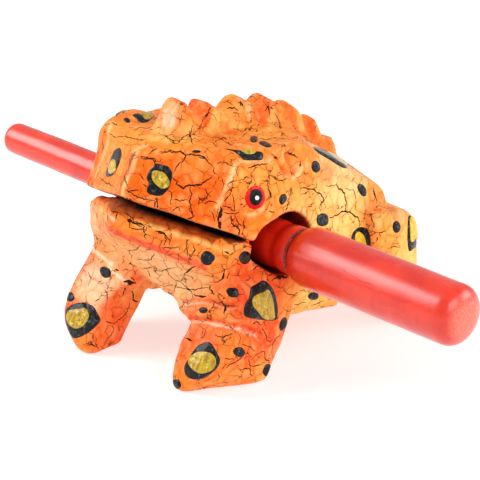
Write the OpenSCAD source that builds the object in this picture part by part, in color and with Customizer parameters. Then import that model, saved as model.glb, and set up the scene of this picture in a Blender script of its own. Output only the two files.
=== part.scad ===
// Frog rasp (guiro): a frog carved from one block of wood, with a notched
// crest along its back, and the turned stick that plays it, stored crosswise
// through the mouth. Millimetres, +Z up, the frog looks along -Y.

/* [Stick] */
// tilt of the stored stick, handle end down, degrees
stick_tilt = 3.4; // [2:0.1:4]
// length of the shaft from its tip to the handle's shoulder
shaft_len = 128.5; // [120:0.5:140]
// diameter of the shaft at its tip
shaft_tip_d = 10.0; // [8:0.1:11]
// diameter of the shaft where it meets the neck
shaft_d = 11.4; // [9:0.1:12]
// diameter of the neck below the handle
neck_d = 15.0; // [13:0.1:16]
// length of the neck
neck_len = 18; // [10:0.5:22]
// diameter of the handle
handle_d = 18.4; // [16:0.1:20]
// length of the handle
handle_len = 63.5; // [55:0.5:80]
// diameter of the tenon that is glued into the handle
tenon_d = 9; // [7:0.1:11]
// length of that tenon
tenon_len = 24; // [15:0.5:40]
// glue line between tenon and socket, on the radius
glue_line = 0.05; // [0.02:0.01:0.1]

/* [Mouth] */
// diameter of the bore across the mouth corners
bore_d = 20; // [19:0.1:21]
// height of the bore's axis above the ground
bore_z = 39.5; // [38:0.1:41]
// rise of the upper lip towards the snout, per mm
upper_lip_rise = 0.506; // [0.4:0.002:0.6]
// rise of the lower lip towards the snout, per mm
lower_lip_rise = 0.47; // [0.4:0.002:0.5]
// height of the upper lip's plane where it would cross the bore's axis
upper_lip_z = 36.3; // [35:0.1:38]
// height of the lower lip's plane at the same place
lower_lip_z = 36.2; // [35.5:0.05:36.2]

/* [Crest] */
// width of the crest at the root
crest_root = 13; // [9:0.5:16]
// width of the crest at the tips
crest_tip = 5; // [3:0.5:8]

/* [Legs] */
// half width of the tunnel between the left and right feet
tunnel_half = 17.5; // [14:0.5:19]
// height of the tunnel's crown
tunnel_z = 24; // [20:0.5:26]

/* [Hidden] */
$fn = 64;
big = 160;
wood = [0.95, 0.52, 0.13];
red = [0.86, 0.27, 0.20];
// stick: u runs along it from the mid plane, towards the handle
u_shoulder = 36.3;
u_tip = u_shoulder - shaft_len;
u_butt = u_shoulder + handle_len;
// the middle of the whole object's outline, moved to the origin
mid_x = (u_tip + u_butt) / 2 * cos(stick_tilt);
mid_y = 7.5;
// crest: [start y, start z, peak y, peak z, end y, end z] of each tooth
teeth = [
    [-24.0, 68.0, -16.7, 81.2, -10.4, 76.4],
    [-10.4, 76.4,  -6.7, 78.9,   2.4, 72.8],
    [  2.4, 72.8,   8.1, 77.0,  14.4, 72.4],
    [ 14.4, 72.4,  19.4, 74.5,  27.6, 69.0],
    [ 27.6, 69.0,  30.8, 70.2,  38.0, 63.6],
    [ 38.0, 63.6,  41.4, 62.8,  46.4, 55.8],
    [ 46.4, 55.8,  49.4, 54.6,  51.6, 48.6],
    [ 51.6, 48.6,  53.4, 47.4,  54.8, 43.6]];

frog_body();
striker_handle();
striker_shaft();

// everything on the far side of a plane through p; the plane faces the
// direction az (0 forward, 90 the frog's left, 180 back), tilted up by el
module shave(p, az, el)
    translate(p) rotate([0, -el, az - 90]) translate([0, -big / 2, -big / 2]) cube(big);

// the same cut on the left and on the right
module shave_pair(p, az, el) {
    shave(p, az, el);
    mirror([1, 0, 0]) shave(p, az, el);
}

// an outline seen from the side, [y, z], as a slab of width w across X
module side_slab(points, w)
    rotate([90, 0, 90]) linear_extrude(height = w, center = true) polygon(points);

// an outline seen from the front, [x, z], from y0 to y1
module front_slab(points, y0, y1)
    translate([0, y1, 0]) rotate([90, 0, 0]) linear_extrude(height = y1 - y0) polygon(points);

// upper head, back and rump, above the upper lip's plane
module head_and_back()
    difference() {
        translate([-40, -60, 8]) cube([80, 120, 72]);
        // nose, forehead, head top, back
        shave_pair([0, -38.8, 57], 28.4, 21.6);
        shave_pair([0, -33.2, 67.6], 19, 60);
        shave([0, -15, 70.3], 180, 83);
        shave_pair([0, 57, 46], 152.5, 54);
        // cheeks, brows, flanks, rump
        shave_pair([26.5, -21, 60], 82.6, 6.8);
        shave_pair([26.2, -14, 66.9], 82.6, 45);
        shave_pair([30.5, 8, 42], 97, 10);
        shave_pair([31.5, 8, 30], 97, -5);
        shave_pair([25, 50, 40], 140, 15);
        shave([0, 54, 36], 180, 18);
        shave([0, 55, 30], 180, -6);
        // upper lip and belly
        shave([0, 0, upper_lip_z], 0, -atan(1 / upper_lip_rise));
        shave([0, 2.4, 12.4], 0, -83.2);
    }

// lower jaw and chest, below the lower lip's plane
module jaw_and_chest()
    difference() {
        translate([-40, -60, 8]) cube([80, 90, 60]);
        shave([0, 0, lower_lip_z], 180, atan(1 / lower_lip_rise));
        shave_pair([0, -44, 50], 36, 0);
        shave_pair([0, -44, 52.6], 65.3, 61);
        shave_pair([0, -44, 47.5], 18, -38.6);
        shave_pair([29.6, -21, 43], 86, -15);
        shave_pair([31.5, 8, 30], 97, -5);
        shave([0, 2.4, 12.4], 0, -83.2);
    }

// solid wood behind the mouth, between head and jaw; the thin wedge that the
// two lip planes leave open in front of it is the mouth, a groove that ends
// where this wood begins
module core() {
    translate([-24, -8, 20]) cube([48, 40, 34]);
    translate([0, 0, 36.25]) rotate([-26, 0, 0]) linear_extrude(height = 8, center = true)
        polygon([[0, -31], [27, -17], [27, 14], [-27, 14], [-27, -17]]);
}

// one tooth of the crest
module tooth(t)
    intersection() {
        side_slab([[t[0] - 1, t[1] - 22], [t[0] - 1, t[1] - 1.6], [t[0], t[1]], [t[2], t[3]], [t[4], t[5]],
            [t[4] + 1, t[5] - 1.6], [t[4] + 1, t[5] - 16]], 30);
        front_slab([[-crest_root / 2 - 3, t[3] - 22], [crest_root / 2 + 3, t[3] - 22],
            [crest_tip / 2, t[3] + 0.5], [-crest_tip / 2, t[3] + 0.5]], t[0] - 3, t[4] + 3);
    }

// the frog's left front leg: the arm down from the shoulder, then the hand,
// which steps forward below the wrist
module front_leg() {
    difference() {
        translate([8, -45, 8]) cube([32, 51, 26]);
        shave([23, -28.3, 20], 0, 20);
        leg_sides();
        shave([31.5, -10, 31], 86, 35);
    }
    difference() {
        translate([8, -45, 0]) cube([32, 40, 24]);
        shave([23, -34.2, 13.1], 0, 15.3);
        shave([23, -34.2, 13.1], 0, 38.7);
        shave([22, -37, 0], -27.6, -41);
        leg_sides();
    }
}

// the cuts that arm and hand share: outer front edge, outside, heel, upper arm
module leg_sides() {
    shave([22, -37.5, 0], 61, -45);
    shave([27.8, -40.7, 10], 61, -8);
    shave([33.8, -14, 6], 90, 4);
    shave([33.5, -12, 0], 215, -31);
    shave([33, -22.4, 25.1], 45, 35);
}

// the frog's left hind leg, folded against the rump
module hind_leg()
    difference() {
        translate([10, 30, 0]) cube([30, 30, 40]);
        shave([30, 47, 37], 165, 52);
        shave([30, 59, 26], 180, -2);
        shave([32.6, 46, 28], 91, 3);
        shave([32.4, 53, 26], 112, 4);
        shave([32.6, 37.3, 33], 4, -3);
        shave([32.6, 38.6, 24], 4, -26);
    }

// the tunnel under the body, from front to back; behind the front legs the
// arch is cut by hand and comes down lower on the frog's left
module tunnel() {
    front_slab([[-tunnel_half, -1], [-tunnel_half + 0.5, 15], [-tunnel_half + 2, 19], [-tunnel_half + 5.5, 22.5],
        [-7, tunnel_z], [7, tunnel_z], [tunnel_half - 5.5, 22.5], [tunnel_half - 2, 19],
        [tunnel_half - 0.5, 15], [tunnel_half, -1]], -70, -24);
    front_slab([[-tunnel_half, -1], [-tunnel_half + 0.5, 15], [-tunnel_half + 2, 19], [-tunnel_half + 5.5, 22.5],
        [-7, tunnel_z], [-4, tunnel_z - 0.2], [0, tunnel_z - 2.5], [4.3, tunnel_z - 5.7], [9, tunnel_z - 7],
        [tunnel_half - 4.5, tunnel_z - 8.5], [tunnel_half - 1.5, tunnel_z - 11],
        [tunnel_half - 0.2, tunnel_z - 16], [tunnel_half, -1]], -25, 80);
}

module frog_body()
    color(wood) translate([-mid_x, -mid_y, 0]) difference() {
        union() {
            head_and_back();
            jaw_and_chest();
            core();
            for (t = teeth) tooth(t);
            front_leg();
            mirror([1, 0, 0]) front_leg();
            hind_leg();
            mirror([1, 0, 0]) hind_leg();
        }
        tunnel();
        translate([0, -1.2, bore_z]) rotate([0, 90, 0]) cylinder(d = bore_d, h = 120, center = true);
    }

// puts a shape turned about its own axis u into the mouth
module in_mouth()
    translate([-mid_x, -mid_y, bore_z + 0.15]) rotate([0, 90 + stick_tilt, 0]) children();

module striker_shaft()
    color(red) in_mouth() rotate_extrude() polygon(concat(
        [[0, u_tip]],
        [for (a = [0 : 15 : 90]) [shaft_tip_d / 2 - 2.5 + 2.5 * sin(a), u_tip + 2.5 - 2.5 * cos(a)]],
        [[shaft_d / 2, u_shoulder - neck_len - 3],
         [neck_d / 2 - 0.6, u_shoulder - neck_len],
         [neck_d / 2, u_shoulder - neck_len + 1],
         [neck_d / 2, u_shoulder - 7],
         [neck_d / 2 - 0.7, u_shoulder - 6],
         [neck_d / 2, u_shoulder - 5],
         [neck_d / 2, u_shoulder],
         [tenon_d / 2, u_shoulder],
         [tenon_d / 2, u_shoulder + tenon_len],
         [0, u_shoulder + tenon_len]]));

module striker_handle()
    color(red) in_mouth() difference() {
        rotate_extrude() polygon(concat(
            [[0, u_shoulder]],
            [for (a = [0 : 15 : 90]) [handle_d / 2 - 3 + 3 * sin(a), u_shoulder + 3 - 3 * cos(a)]],
            [for (a = [0 : 10 : 80]) [handle_d / 2 * pow(cos(a), 0.8), u_butt - 7 + 7 * pow(sin(a), 0.8)]],
            [[0, u_butt]]));
        translate([0, 0, u_shoulder - 1]) cylinder(d = tenon_d + 2 * glue_line, h = tenon_len + 1.2);
    }
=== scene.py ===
import bpy
import math
import numpy as np
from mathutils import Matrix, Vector


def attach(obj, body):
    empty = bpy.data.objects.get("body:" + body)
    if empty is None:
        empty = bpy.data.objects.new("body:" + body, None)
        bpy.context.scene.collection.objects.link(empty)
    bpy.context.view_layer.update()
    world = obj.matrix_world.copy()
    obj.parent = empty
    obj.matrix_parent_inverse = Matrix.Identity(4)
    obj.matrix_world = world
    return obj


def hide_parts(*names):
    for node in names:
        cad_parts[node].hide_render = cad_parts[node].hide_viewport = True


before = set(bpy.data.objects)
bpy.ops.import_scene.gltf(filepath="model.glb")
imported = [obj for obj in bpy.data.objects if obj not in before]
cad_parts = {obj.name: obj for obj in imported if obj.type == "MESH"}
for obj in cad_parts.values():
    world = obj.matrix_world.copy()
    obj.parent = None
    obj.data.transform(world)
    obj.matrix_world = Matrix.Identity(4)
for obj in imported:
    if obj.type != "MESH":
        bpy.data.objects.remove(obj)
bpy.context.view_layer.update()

# ---------------------------------------------------------------- frames
# The carving is worked out in millimetres, from the frog's mid plane (X), the
# bore's axis (Y) and the ground (Z); MID takes that to the row frame.
TILT = math.radians(3.4)
U_SHOULDER, SHAFT_LEN, HANDLE_LEN = 36.3, 128.5, 63.5
U_TIP, U_BUTT = U_SHOULDER - SHAFT_LEN, U_SHOULDER + HANDLE_LEN
MID = np.array([(U_TIP + U_BUTT) / 2 * math.cos(TILT), 7.5, 0.0])


def to_row(p):
    return (np.asarray(p, float) - MID) * 0.001


# ---------------------------------------------------------------- camera
CAM = np.array([521.42, -528.80, 302.75])
AIM = np.array([26.92, -16.73, 43.65])
FOCAL = 2600.0  # pixels, for a frame of 480 x 480
_w = (AIM - CAM) / np.linalg.norm(AIM - CAM)
_r = np.cross(_w, [0, 0, 1.0])
_r /= np.linalg.norm(_r)
_u = np.cross(_r, _w)


def sight(px):
    """The direction of sight through a point of the 480 x 480 frame."""
    d = _w + (px[0] - 240.0) / FOCAL * _r - (px[1] - 240.0) / FOCAL * _u
    return d / np.linalg.norm(d)


cam_data = bpy.data.cameras.new("camera")
cam_data.sensor_width = 36.0
cam_data.lens = FOCAL / 480.0 * 36.0
cam_data.clip_start, cam_data.clip_end = 0.01, 50.0
cam = bpy.data.objects.new("camera", cam_data)
bpy.context.scene.collection.objects.link(cam)
cam.location = Vector(to_row(CAM))
cam.rotation_mode = "QUATERNION"
cam.rotation_quaternion = Vector(_w).to_track_quat("-Z", "Y")
bpy.context.scene.camera = cam

# ---------------------------------------------------------------- noise


def lattice(seed, shape):
    return np.random.RandomState(seed).uniform(-1, 1, shape).astype(np.float32)


def weights(x, step, n):
    """Rows of smooth weights that blend n lattice values at the places x."""
    t = x / step
    i = np.floor(t).astype(int)
    f = t - i
    f = f * f * f * (f * (f * 6 - 15) + 10)
    w = np.zeros((len(x), n), np.float32)
    r = np.arange(len(x))
    w[r, np.clip(i, 0, n - 1)] += 1 - f
    w[r, np.clip(i + 1, 0, n - 1)] += f
    return w


def grid_noise(xs, ys, zs, step, seed):
    ns = [int((a[-1] - a[0]) / step) + 3 for a in (xs, ys, zs)]
    g = lattice(seed, ns)
    g = np.tensordot(weights(xs - xs[0], step, ns[0]), g, (1, 0))
    g = np.tensordot(weights(ys - ys[0], step, ns[1]), g, (1, 1)).transpose(1, 0, 2)
    return np.tensordot(weights(zs - zs[0], step, ns[2]), g, (1, 2)).transpose(1, 2, 0)


CUBES = {}


def point_noise(p, step, seed):
    """Smooth noise from -1 to 1 at points p (n, 3)."""
    t = np.asarray(p, float) / step + 64.0
    i = np.floor(t).astype(int)
    f = t - i
    f = f * f * f * (f * (f * 6 - 15) + 10)
    if seed not in CUBES:
        CUBES[seed] = lattice(seed, (64, 64, 64))
    g, n = CUBES[seed], 64
    out = 0
    for dx in (0, 1):
        for dy in (0, 1):
            for dz in (0, 1):
                w = (f[:, 0] if dx else 1 - f[:, 0]) * (f[:, 1] if dy else 1 - f[:, 1]) * (f[:, 2] if dz else 1 - f[:, 2])
                out = out + w * g[(i[:, 0] + dx) % n, (i[:, 1] + dy) % n, (i[:, 2] + dz) % n]
    return out


# ---------------------------------------------------------------- carving
H = 0.69
LOW = np.array([-37.0, -47.5, -1.6])
xs = np.arange(LOW[0], 37.01, H, dtype=np.float32)
ys = np.arange(LOW[1], 62.01, H, dtype=np.float32)
zs = np.arange(LOW[2], 84.01, H, dtype=np.float32)
GX, GY, GZ = xs[:, None, None], ys[None, :, None], zs[None, None, :]
AX = np.sqrt(GX * GX + 0.8)  # both halves at once, a little round at the mid plane


def cut(p, az, el, x=None):
    """Distance in front of a plane through p that faces az, el; negative is wood."""
    a, e = math.radians(az), math.radians(el)
    n = (math.sin(a) * math.cos(e), -math.cos(a) * math.cos(e), math.sin(e))
    x = AX if x is None else x
    return ((x - p[0]) * n[0] + (GY - p[1]) * n[1] + (GZ - p[2]) * n[2]).astype(np.float32)


def smax(a, b, k):
    if k <= 0:
        return np.maximum(a, b)
    h = np.maximum(k - np.abs(a - b), 0) / k
    return np.maximum(a, b) + h * h * (k * 0.25)


def smin(a, b, k):
    return -smax(-a, -b, k)


def shape(cuts, k):
    f = cuts[0]
    for c in cuts[1:]:
        f = smax(f, c, k)
    return f


LIP_UP, LIP_LOW = 0.506, 0.47
el_up, el_low = math.degrees(math.atan(1 / LIP_UP)), math.degrees(math.atan(1 / LIP_LOW))
belly = cut((0, 2.4, 12.4), 0, -83.2)
LEFT, RIGHT = GX + 0 * GY + 0 * GZ, -GX + 0 * GY + 0 * GZ  # the frog's left is the side with the handle
nose = cut((0, -38.8, 57), 28.4, 21.6)


def face(inner, outer):
    """Front of the head on one side: the nose's facet, then a step out to the eye's plate."""
    return smin(smax(nose, inner, 0.5), smax((nose - 0.4 * inner) / 0.833, outer, 0.6), 0.3)


face_left = face(cut((26.2, -21, 60), 82.6, 6.8, LEFT), cut((30.7, 9, 52), 86.6, 6.8, LEFT))
face_right = face(cut((24.9, -21, 60), 82.6, 6.8, RIGHT), cut((26.7, -21, 60), 82.6, 6.8, RIGHT))
head = shape([
    np.where(GX > 0, face_left, face_right),
    cut((0, -33.2, 67.6), 19, 60),
    cut((0, -15, 70.3), 180, 83),
    cut((0, 57, 46), 152.5, 54),
    cut((26.2, -14, 66.9), 82.6, 45),
    cut((30.5, 8, 42), 97, 10),
    cut((31.5, 8, 30), 97, -5),
    cut((25, 50, 40), 140, 15),
    cut((0, 54, 36), 180, 18),
    cut((0, 55, 30), 180, -6),
    cut((0, 0, 36.3), 0, -el_up),
    belly], 1.1)
jaw = shape([
    cut((0, 0, 35.1), 180, el_up),
    np.where(GX > 0, cut((0, -44, 50), 36, 0), cut((0, -44, 50), 33.5, 0)),
    cut((0, -44, 52.6), 65.3, 61) - 1.5 * np.clip(-GX / 18, 0, 1),
    cut((0, -44, 47.5), 18, -38.6),
    cut((29.6, -21, 43), 86, -15),
    cut((27.5, -22, 46.2), 118, 52, LEFT),
    cut((31.5, 8, 30), 97, -5),
    GY - 30 + 0 * GX + 0 * GZ,
    belly], 1.1)
# solid wood behind the mouth
web = shape([
    np.abs((GZ - 36.25) + 0.488 * GY) * 0.9 - 4 + 0 * GX,
    cut((0, -28, 40), 27.4, 0),
    AX - 27 + 0 * GY + 0 * GZ,
    GY - 12 + 0 * GX + 0 * GZ], 0)
core = shape([AX - 24 + 0 * GY + 0 * GZ, np.abs(GY - 12) - 20 + 0 * GX + 0 * GZ, np.abs(GZ - 37) - 17 + 0 * GX + 0 * GY], 0)

# crest: a row of teeth whose flanks fold in at every notch
PEAKS = [(-16.7, 81.2), (-6.7, 78.9), (8.1, 77.0), (19.4, 74.5), (30.8, 70.2), (41.4, 62.8), (49.4, 54.6), (53.4, 47.4)]
NOTCHES = [(-24.0, 68.0), (-10.4, 76.4), (2.4, 72.8), (14.4, 72.4), (27.6, 69.0), (38.0, 63.6), (46.4, 55.8), (51.6, 48.6), (54.8, 43.6)]
line = sorted(PEAKS + NOTCHES)
fy = np.arange(-30, 64, 0.1)
fz = np.interp(fy, [p[0] for p in line], [p[1] for p in line])
fz = np.convolve(np.pad(fz, 5, mode="edge"), np.ones(11) / 11, mode="valid")
crest_z = np.interp(ys, fy, fz).astype(np.float32)[None, :, None]
hull_z = np.interp(ys, [-30, -16.7, -6.7, 8.1, 19.4, 30.8, 41.4, 49.4, 53.4, 60], [83, 81.2, 79.6, 77.2, 74.5, 70.2, 62.8, 54.6, 47.4, 38]).astype(np.float32)[None, :, None]
under = np.clip((hull_z - GZ) / 22.0, -0.1, 1.4)
fold_y = GY + 0.16 * (GZ - hull_z)
fold = np.interp(fold_y.ravel(), [p[0] for p in line], [1.0 if p in NOTCHES else 0.0 for p in line]).reshape(fold_y.shape).astype(np.float32)
half = 3.1 + 7.2 * under + 0.5 - 2.6 * fold * np.clip(1.25 - under, 0, 1)
slope = np.gradient(crest_z[0, :, 0], ys)[None, :, None]
crest = smax((GZ - crest_z) / np.sqrt(1 + slope * slope), (AX - half) * 0.93, 0.7)
crest = smax(crest, hull_z - 24 - GZ, 0)
crest = smax(crest, np.maximum(-24.6 - GY, GY - 55.2), 0)

sides = [cut((22, -37.5, 0), 61, -45), cut((27.8, -40.7, 10), 61, -8), cut((33.8, -14, 6), 90, 4), cut((33.5, -12, 0), 215, -31),
         cut((33, -22.4, 25.1), 45, 35), 8 - AX + 0 * GY + 0 * GZ]
arm = shape(sides + [cut((23, -28.3, 20), 0, 20), cut((31.5, -10, 31), 86, 35), GY - 6 + 0 * GX + 0 * GZ, np.abs(GZ - 21) - 13 + 0 * GX + 0 * GY], 2.4)
hand = shape(sides + [cut((23, -34.2, 13.1), 0, 15.3), cut((23, -34.2, 13.1), 0, 38.7), cut((22, -37, 0), -27.6, -41),
                      GY + 5 + 0 * GX + 0 * GZ, GZ - 24 + 0 * GX + 0 * GY], 2.6)
hind_leg = shape([
    cut((30, 49.6, 37.3), 175, 80), cut((30, 56.2, 34.4), 168, 42), cut((30, 60.4, 26), 180, -2), cut((32.6, 46, 28), 91, 3), cut((32.4, 55, 26), 112, 4),
    cut((32.6, 37.3, 33), 4, -3), cut((32.6, 38.6, 24), 4, -26),
    10 - AX + 0 * GY + 0 * GZ], 2.6)

tunnel_x = np.interp(zs, [-2, 15, 19, 22.5, 24, 24.5], [17.5, 17, 15.5, 12, 7, -2]).astype(np.float32)[None, None, :]
tunnel_l = np.interp(zs, [-2, 8, 13, 15.5, 17, 18.3, 21.5, 23.8, 24.5], [17.5, 17.3, 16, 13, 9, 4.3, 0, -4, -6]).astype(np.float32)[None, None, :]
aft = np.clip((GY + 25.5) / 3.5, 0, 1)
tunnel_l = tunnel_x * (1 - aft) + tunnel_l * aft
tunnel = smax(smax((-GX - tunnel_x) * 0.85 + 0 * GY, (GX - tunnel_l) * 0.75, 1.0), GZ - 24 + 0 * GX + 0 * GY, 1.6)
bore = (np.sqrt(((GY + 0.2) / 11.0) ** 2 + ((GZ - 39.1) / 9.3) ** 2) - 1) * 9.6 + 0 * GX

F = np.minimum(head, jaw)
F = np.minimum(F, core)
F = np.minimum(F, web)
F = smin(F, crest, 0.9)
F = smin(F, arm, 2.0)
F = smin(F, hand, 1.0)
F = smin(F, hind_leg, 1.4)
F = smax(F, -tunnel, 1.6)
F = smax(F, -bore, 0.9)
corner = (np.sqrt(((GY + 5.0) / 9.6) ** 2 + ((GZ - 40.6) / 6.9) ** 2) - 1) * 7.6 + 0 * GX
F = smax(F, -smax(corner, 25.5 - GX, 1.5), 0.9)
F = smax(F, -GZ + 0 * GX + 0 * GY, 0.8)
# the hand's unevenness
F = F + 0.22 * grid_noise(xs, ys, zs, 11.0, 11) + 0.14 * grid_noise(xs, ys, zs, 4.6, 12)
rough = np.clip((GZ + 0.18 * GY - 66) / 5, 0, 1)
soft = F
for _ in range(2):
    for ax in (0, 1, 2):
        soft = (np.roll(soft, 1, ax) + 2 * soft + np.roll(soft, -1, ax)) / 4
F = F + rough * (soft - 0.15 - F)
F = F + rough * (0.42 * grid_noise(xs, ys, zs, 2.6, 13) + 0.34 * grid_noise(xs, ys, zs, 5.2, 14))
F = np.maximum(F, -GZ + 0.02)
F = np.ascontiguousarray(F, np.float32)


def sample(field, p):
    t = (np.asarray(p, float) - LOW) / H
    hi = np.array(field.shape) - 1.001
    t = np.clip(t, 0, hi)
    i = t.astype(int)
    f = t - i
    out = 0
    for dx in (0, 1):
        for dy in (0, 1):
            for dz in (0, 1):
                w = (f[..., 0] if dx else 1 - f[..., 0]) * (f[..., 1] if dy else 1 - f[..., 1]) * (f[..., 2] if dz else 1 - f[..., 2])
                out = out + w * field[i[..., 0] + dx, i[..., 1] + dy, i[..., 2] + dz]
    return out


def steep(p, d=0.7):
    """The surface's outward direction at points p."""
    p = np.asarray(p, float)
    g = np.stack([sample(F, p + np.eye(3)[k] * d) - sample(F, p - np.eye(3)[k] * d) for k in range(3)], -1)
    return g / np.maximum(np.linalg.norm(g, axis=-1, keepdims=True), 1e-9)


def first_hit(start, way, reach, step=0.25):
    """Where a straight line first meets the wood, or None."""
    t = np.arange(0, reach, step)
    p = start + t[:, None] * way
    v = sample(F, p)
    inside = np.nonzero(v < 0)[0]
    if len(inside) == 0:
        return None
    k = inside[0]
    if k == 0:
        return p[0]
    a, b = v[k - 1], v[k]
    return p[k - 1] + (p[k] - p[k - 1]) * (a / (a - b))


def seen(px):
    """The point of the frog that shows at a point of the frame."""
    d = sight(px)
    return first_hit(CAM + d * 640.0, d, 240.0)


def near_box(lo, hi, pad):
    lo = np.maximum(((np.asarray(lo) - pad - LOW) / H).astype(int), 0)
    hi = np.minimum(((np.asarray(hi) + pad - LOW) / H).astype(int) + 2, F.shape)
    return tuple(slice(a, b) for a, b in zip(lo, hi))


def run_distance(box, pts):
    """Distance from the grid points in a box to a run of points."""
    x, y, z = GX[box[0]], GY[:, box[1]], GZ[:, :, box[2]]
    best = None
    for a, b in zip(pts[:-1], pts[1:]):
        ab = b - a
        t = ((x - a[0]) * ab[0] + (y - a[1]) * ab[1] + (z - a[2]) * ab[2]) / max(float(ab @ ab), 1e-9)
        t = np.clip(t, 0, 1)
        d = np.sqrt((x - a[0] - t * ab[0]) ** 2 + (y - a[1] - t * ab[1]) ** 2 + (z - a[2] - t * ab[2]) ** 2)
        best = d if best is None else np.minimum(best, d)
    return best


def gouge(pts, r, depth, k=0.8):
    """A round-bottomed cut along a run of surface points."""
    pts = [np.asarray(p, float) for p in pts]
    pts = [p + steep(p) * (r - depth) for p in pts]
    box = near_box(np.min(pts, 0), np.max(pts, 0), r + k + 1)
    d = run_distance(box, pts)
    F[box] = smax(F[box], -(d - r), k)


def weal(pts, r, height, k=2.0):
    """A rounded ridge along a run of surface points."""
    pts = [np.asarray(p, float) for p in pts]
    pts = [p + steep(p) * (height - r) for p in pts]
    box = near_box(np.min(pts, 0), np.max(pts, 0), r + k + 1)
    d = run_distance(box, pts)
    F[box] = smin(F[box], d - r, k)


def both(fn, pts, *args):
    """The same cut on the left and on the right."""
    fn(pts, *args)
    fn([np.array([-p[0], p[1], p[2]]) for p in pts], *args)


# ---------------------------------------------------------------- carved detail


def seen_many(pxs):
    """The points of the frog that show at many points of the frame; nan where none does."""
    pxs = np.asarray(pxs, float).reshape(-1, 2)
    d = _w + (pxs[:, :1] - 240.0) / FOCAL * _r - (pxs[:, 1:] - 240.0) / FOCAL * _u
    d /= np.linalg.norm(d, axis=1, keepdims=True)
    out = np.full((len(pxs), 3), np.nan)
    t = np.arange(676.0, 846.0, 0.8)
    for k in range(0, len(pxs), 2500):
        dd = d[k:k + 2500]
        neg = sample(F, CAM + t[None, :, None] * dd[:, None, :]) < 0
        i = np.argmax(neg, 1)
        ok = neg.any(1) & (i > 0)
        near, far = t[np.maximum(i - 1, 0)], t[i]
        for _ in range(7):
            mid = (near + far) / 2
            inside = sample(F, CAM + mid[:, None] * dd) < 0
            far = np.where(inside, mid, far)
            near = np.where(inside, near, mid)
        q = CAM + ((near + far) / 2)[:, None] * dd
        q[~ok] = np.nan
        out[k:k + 2500] = q
    return out


def surf(*pxs):
    return [p for p in (seen(q) for q in pxs) if p is not None]


def from_above(x, y):
    return first_hit(np.array([x, y, 95.0]), np.array([0, 0, -1.0]), 95.0)


def chip(a, b, c, depth, k=0.35):
    """A knife chip: a wall under the line a-b, its floor rising again to c."""
    t = (b - a) / np.linalg.norm(b - a)
    n = np.cross(t, c - a)
    n /= np.linalg.norm(n)
    if n @ steep((a + b) / 2, 2.0) < 0:
        n = -n
    s = np.cross(n, t)
    width = (c - a) @ s
    if width < 0:
        s, width = -s, -width
    long = np.linalg.norm(b - a)
    box = near_box(np.min([a, b, c], 0), np.max([a, b, c], 0), 4)
    x, y, z = GX[box[0]] - a[0], GY[:, box[1]] - a[1], GZ[:, :, box[2]] - a[2]
    ht, hs, hn = (x * v[0] + y * v[1] + z * v[2] for v in (t, s, n))
    g = smax(-hs - 0.25 * hn, -(hn + depth * (1 - hs / width)) * 0.9, 0.2)
    g = smax(g, np.abs(ht - long / 2) - long / 2 + 0.25 * np.abs(hs), 0.5)
    g = np.maximum(g, np.abs(hn) - 4)
    F[box] = smax(F[box], -g, k)


# chip cuts behind the eye, on both sides
for q0, q1, q2, deep in (((273.8, 158.2), (284.5, 176), (283.2, 163.5), 1.5), ((283.4, 154.5), (293.2, 177.5), (303.0, 168.0), 2.1)):
    a, b, c = seen(q0), seen(q1), seen(q2)
    m = np.array([-1, 1, 1.0])
    chip(a, b, c, deep)
    chip(a * m, b * m, c * m, deep)
# ring cut round the eye
eye_c = seen((255.4, 197.8))
eye_n = steep(eye_c, 2.5)
e1 = np.cross([0, 0, 1.0], eye_n)
e1 /= np.linalg.norm(e1)
e2 = np.cross(eye_n, e1)
ring = [eye_c + e2 * 0.7 + 5.4 * (math.cos(t) * e1 + 1.0 * math.sin(t) * e2) for t in np.linspace(0, 2 * math.pi, 29)]
both(gouge, ring, 0.9, 0.36, 0.6)
# wart on the flank and groove before the hind leg
both(weal, surf((329, 173), (333, 174.5)), 2.4, 0.7)
both(gouge, surf((370, 189), (372, 199), (373, 209)), 1.7, 0.8)
both(gouge, surf((387.5, 206), (391, 211), (395, 217)), 1.6, 0.9)
# hollows that run down from the valleys between the ridge's teeth
for run, wide, deep in ((((189, 108), (186, 117), (183, 127)), 2.0, 0.7), (((217, 110), (215, 120), (213, 130)), 2.6, 0.9), (((247.5, 103), (247, 113), (246, 124)), 2.0, 0.7),
                        (((276, 105), (274, 117), (272, 131)), 2.8, 0.9), (((300.5, 116), (301, 123), (302, 130)), 2.2, 0.8)):
    both(gouge, surf(*run), wide, deep, 0.5)
# arm: a roll between the chest and the wrist
weal(surf((194, 312.5), (214, 312), (234, 316.5), (250, 321)), 4.2, 0.55, 2.5)
gouge(surf((188, 303), (200, 301.5), (211, 301), (225, 305.5), (238, 306.5)), 1.2, 0.9, 0.6)
gouge(surf((191.5, 320), (200, 320), (210, 320.8), (218, 323.6), (228, 325), (239.6, 327.5), (249, 329.5), (259, 335)), 1.3, 1.2, 0.6)
gouge([np.array([16.8, -30.5, 16.5]), np.array([16.9, -25.0, 17.5])], 3.6, 1.0, 1.5)
both(gouge, surf((179, 351.5), (186, 347), (193, 342.5)), 1.0, 0.6, 0.5)
both(gouge, surf((174, 365), (181, 361), (188, 357.5)), 0.9, 0.45, 0.5)
both(gouge, surf((201, 383.5), (212, 375), (224, 366)), 1.0, 0.6, 0.5)
# right arm's roll
weal(surf((104, 258.5), (112, 264.5), (128, 277)), 3.0, 0.5)
gouge(surf((104, 276), (109, 281), (116, 287)), 1.1, 0.4, 0.6)
# right end of the jaw comes down further
weal([np.array([-26.0, -24.5, 39.5]), np.array([-26.3, -24.7, 35.5]), np.array([-26.3, -24.7, 31.0])], 4.0, 0.0)
weal(surf((107, 200.5), (113, 201.5), (119, 203)), 3.0, 0.75, 1.2)
# right brow stands a little higher
weal([from_above(-23, -22), from_above(-24, -13)], 6.0, 1.2, 4.0)

# ---------------------------------------------------------------- mesh


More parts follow.
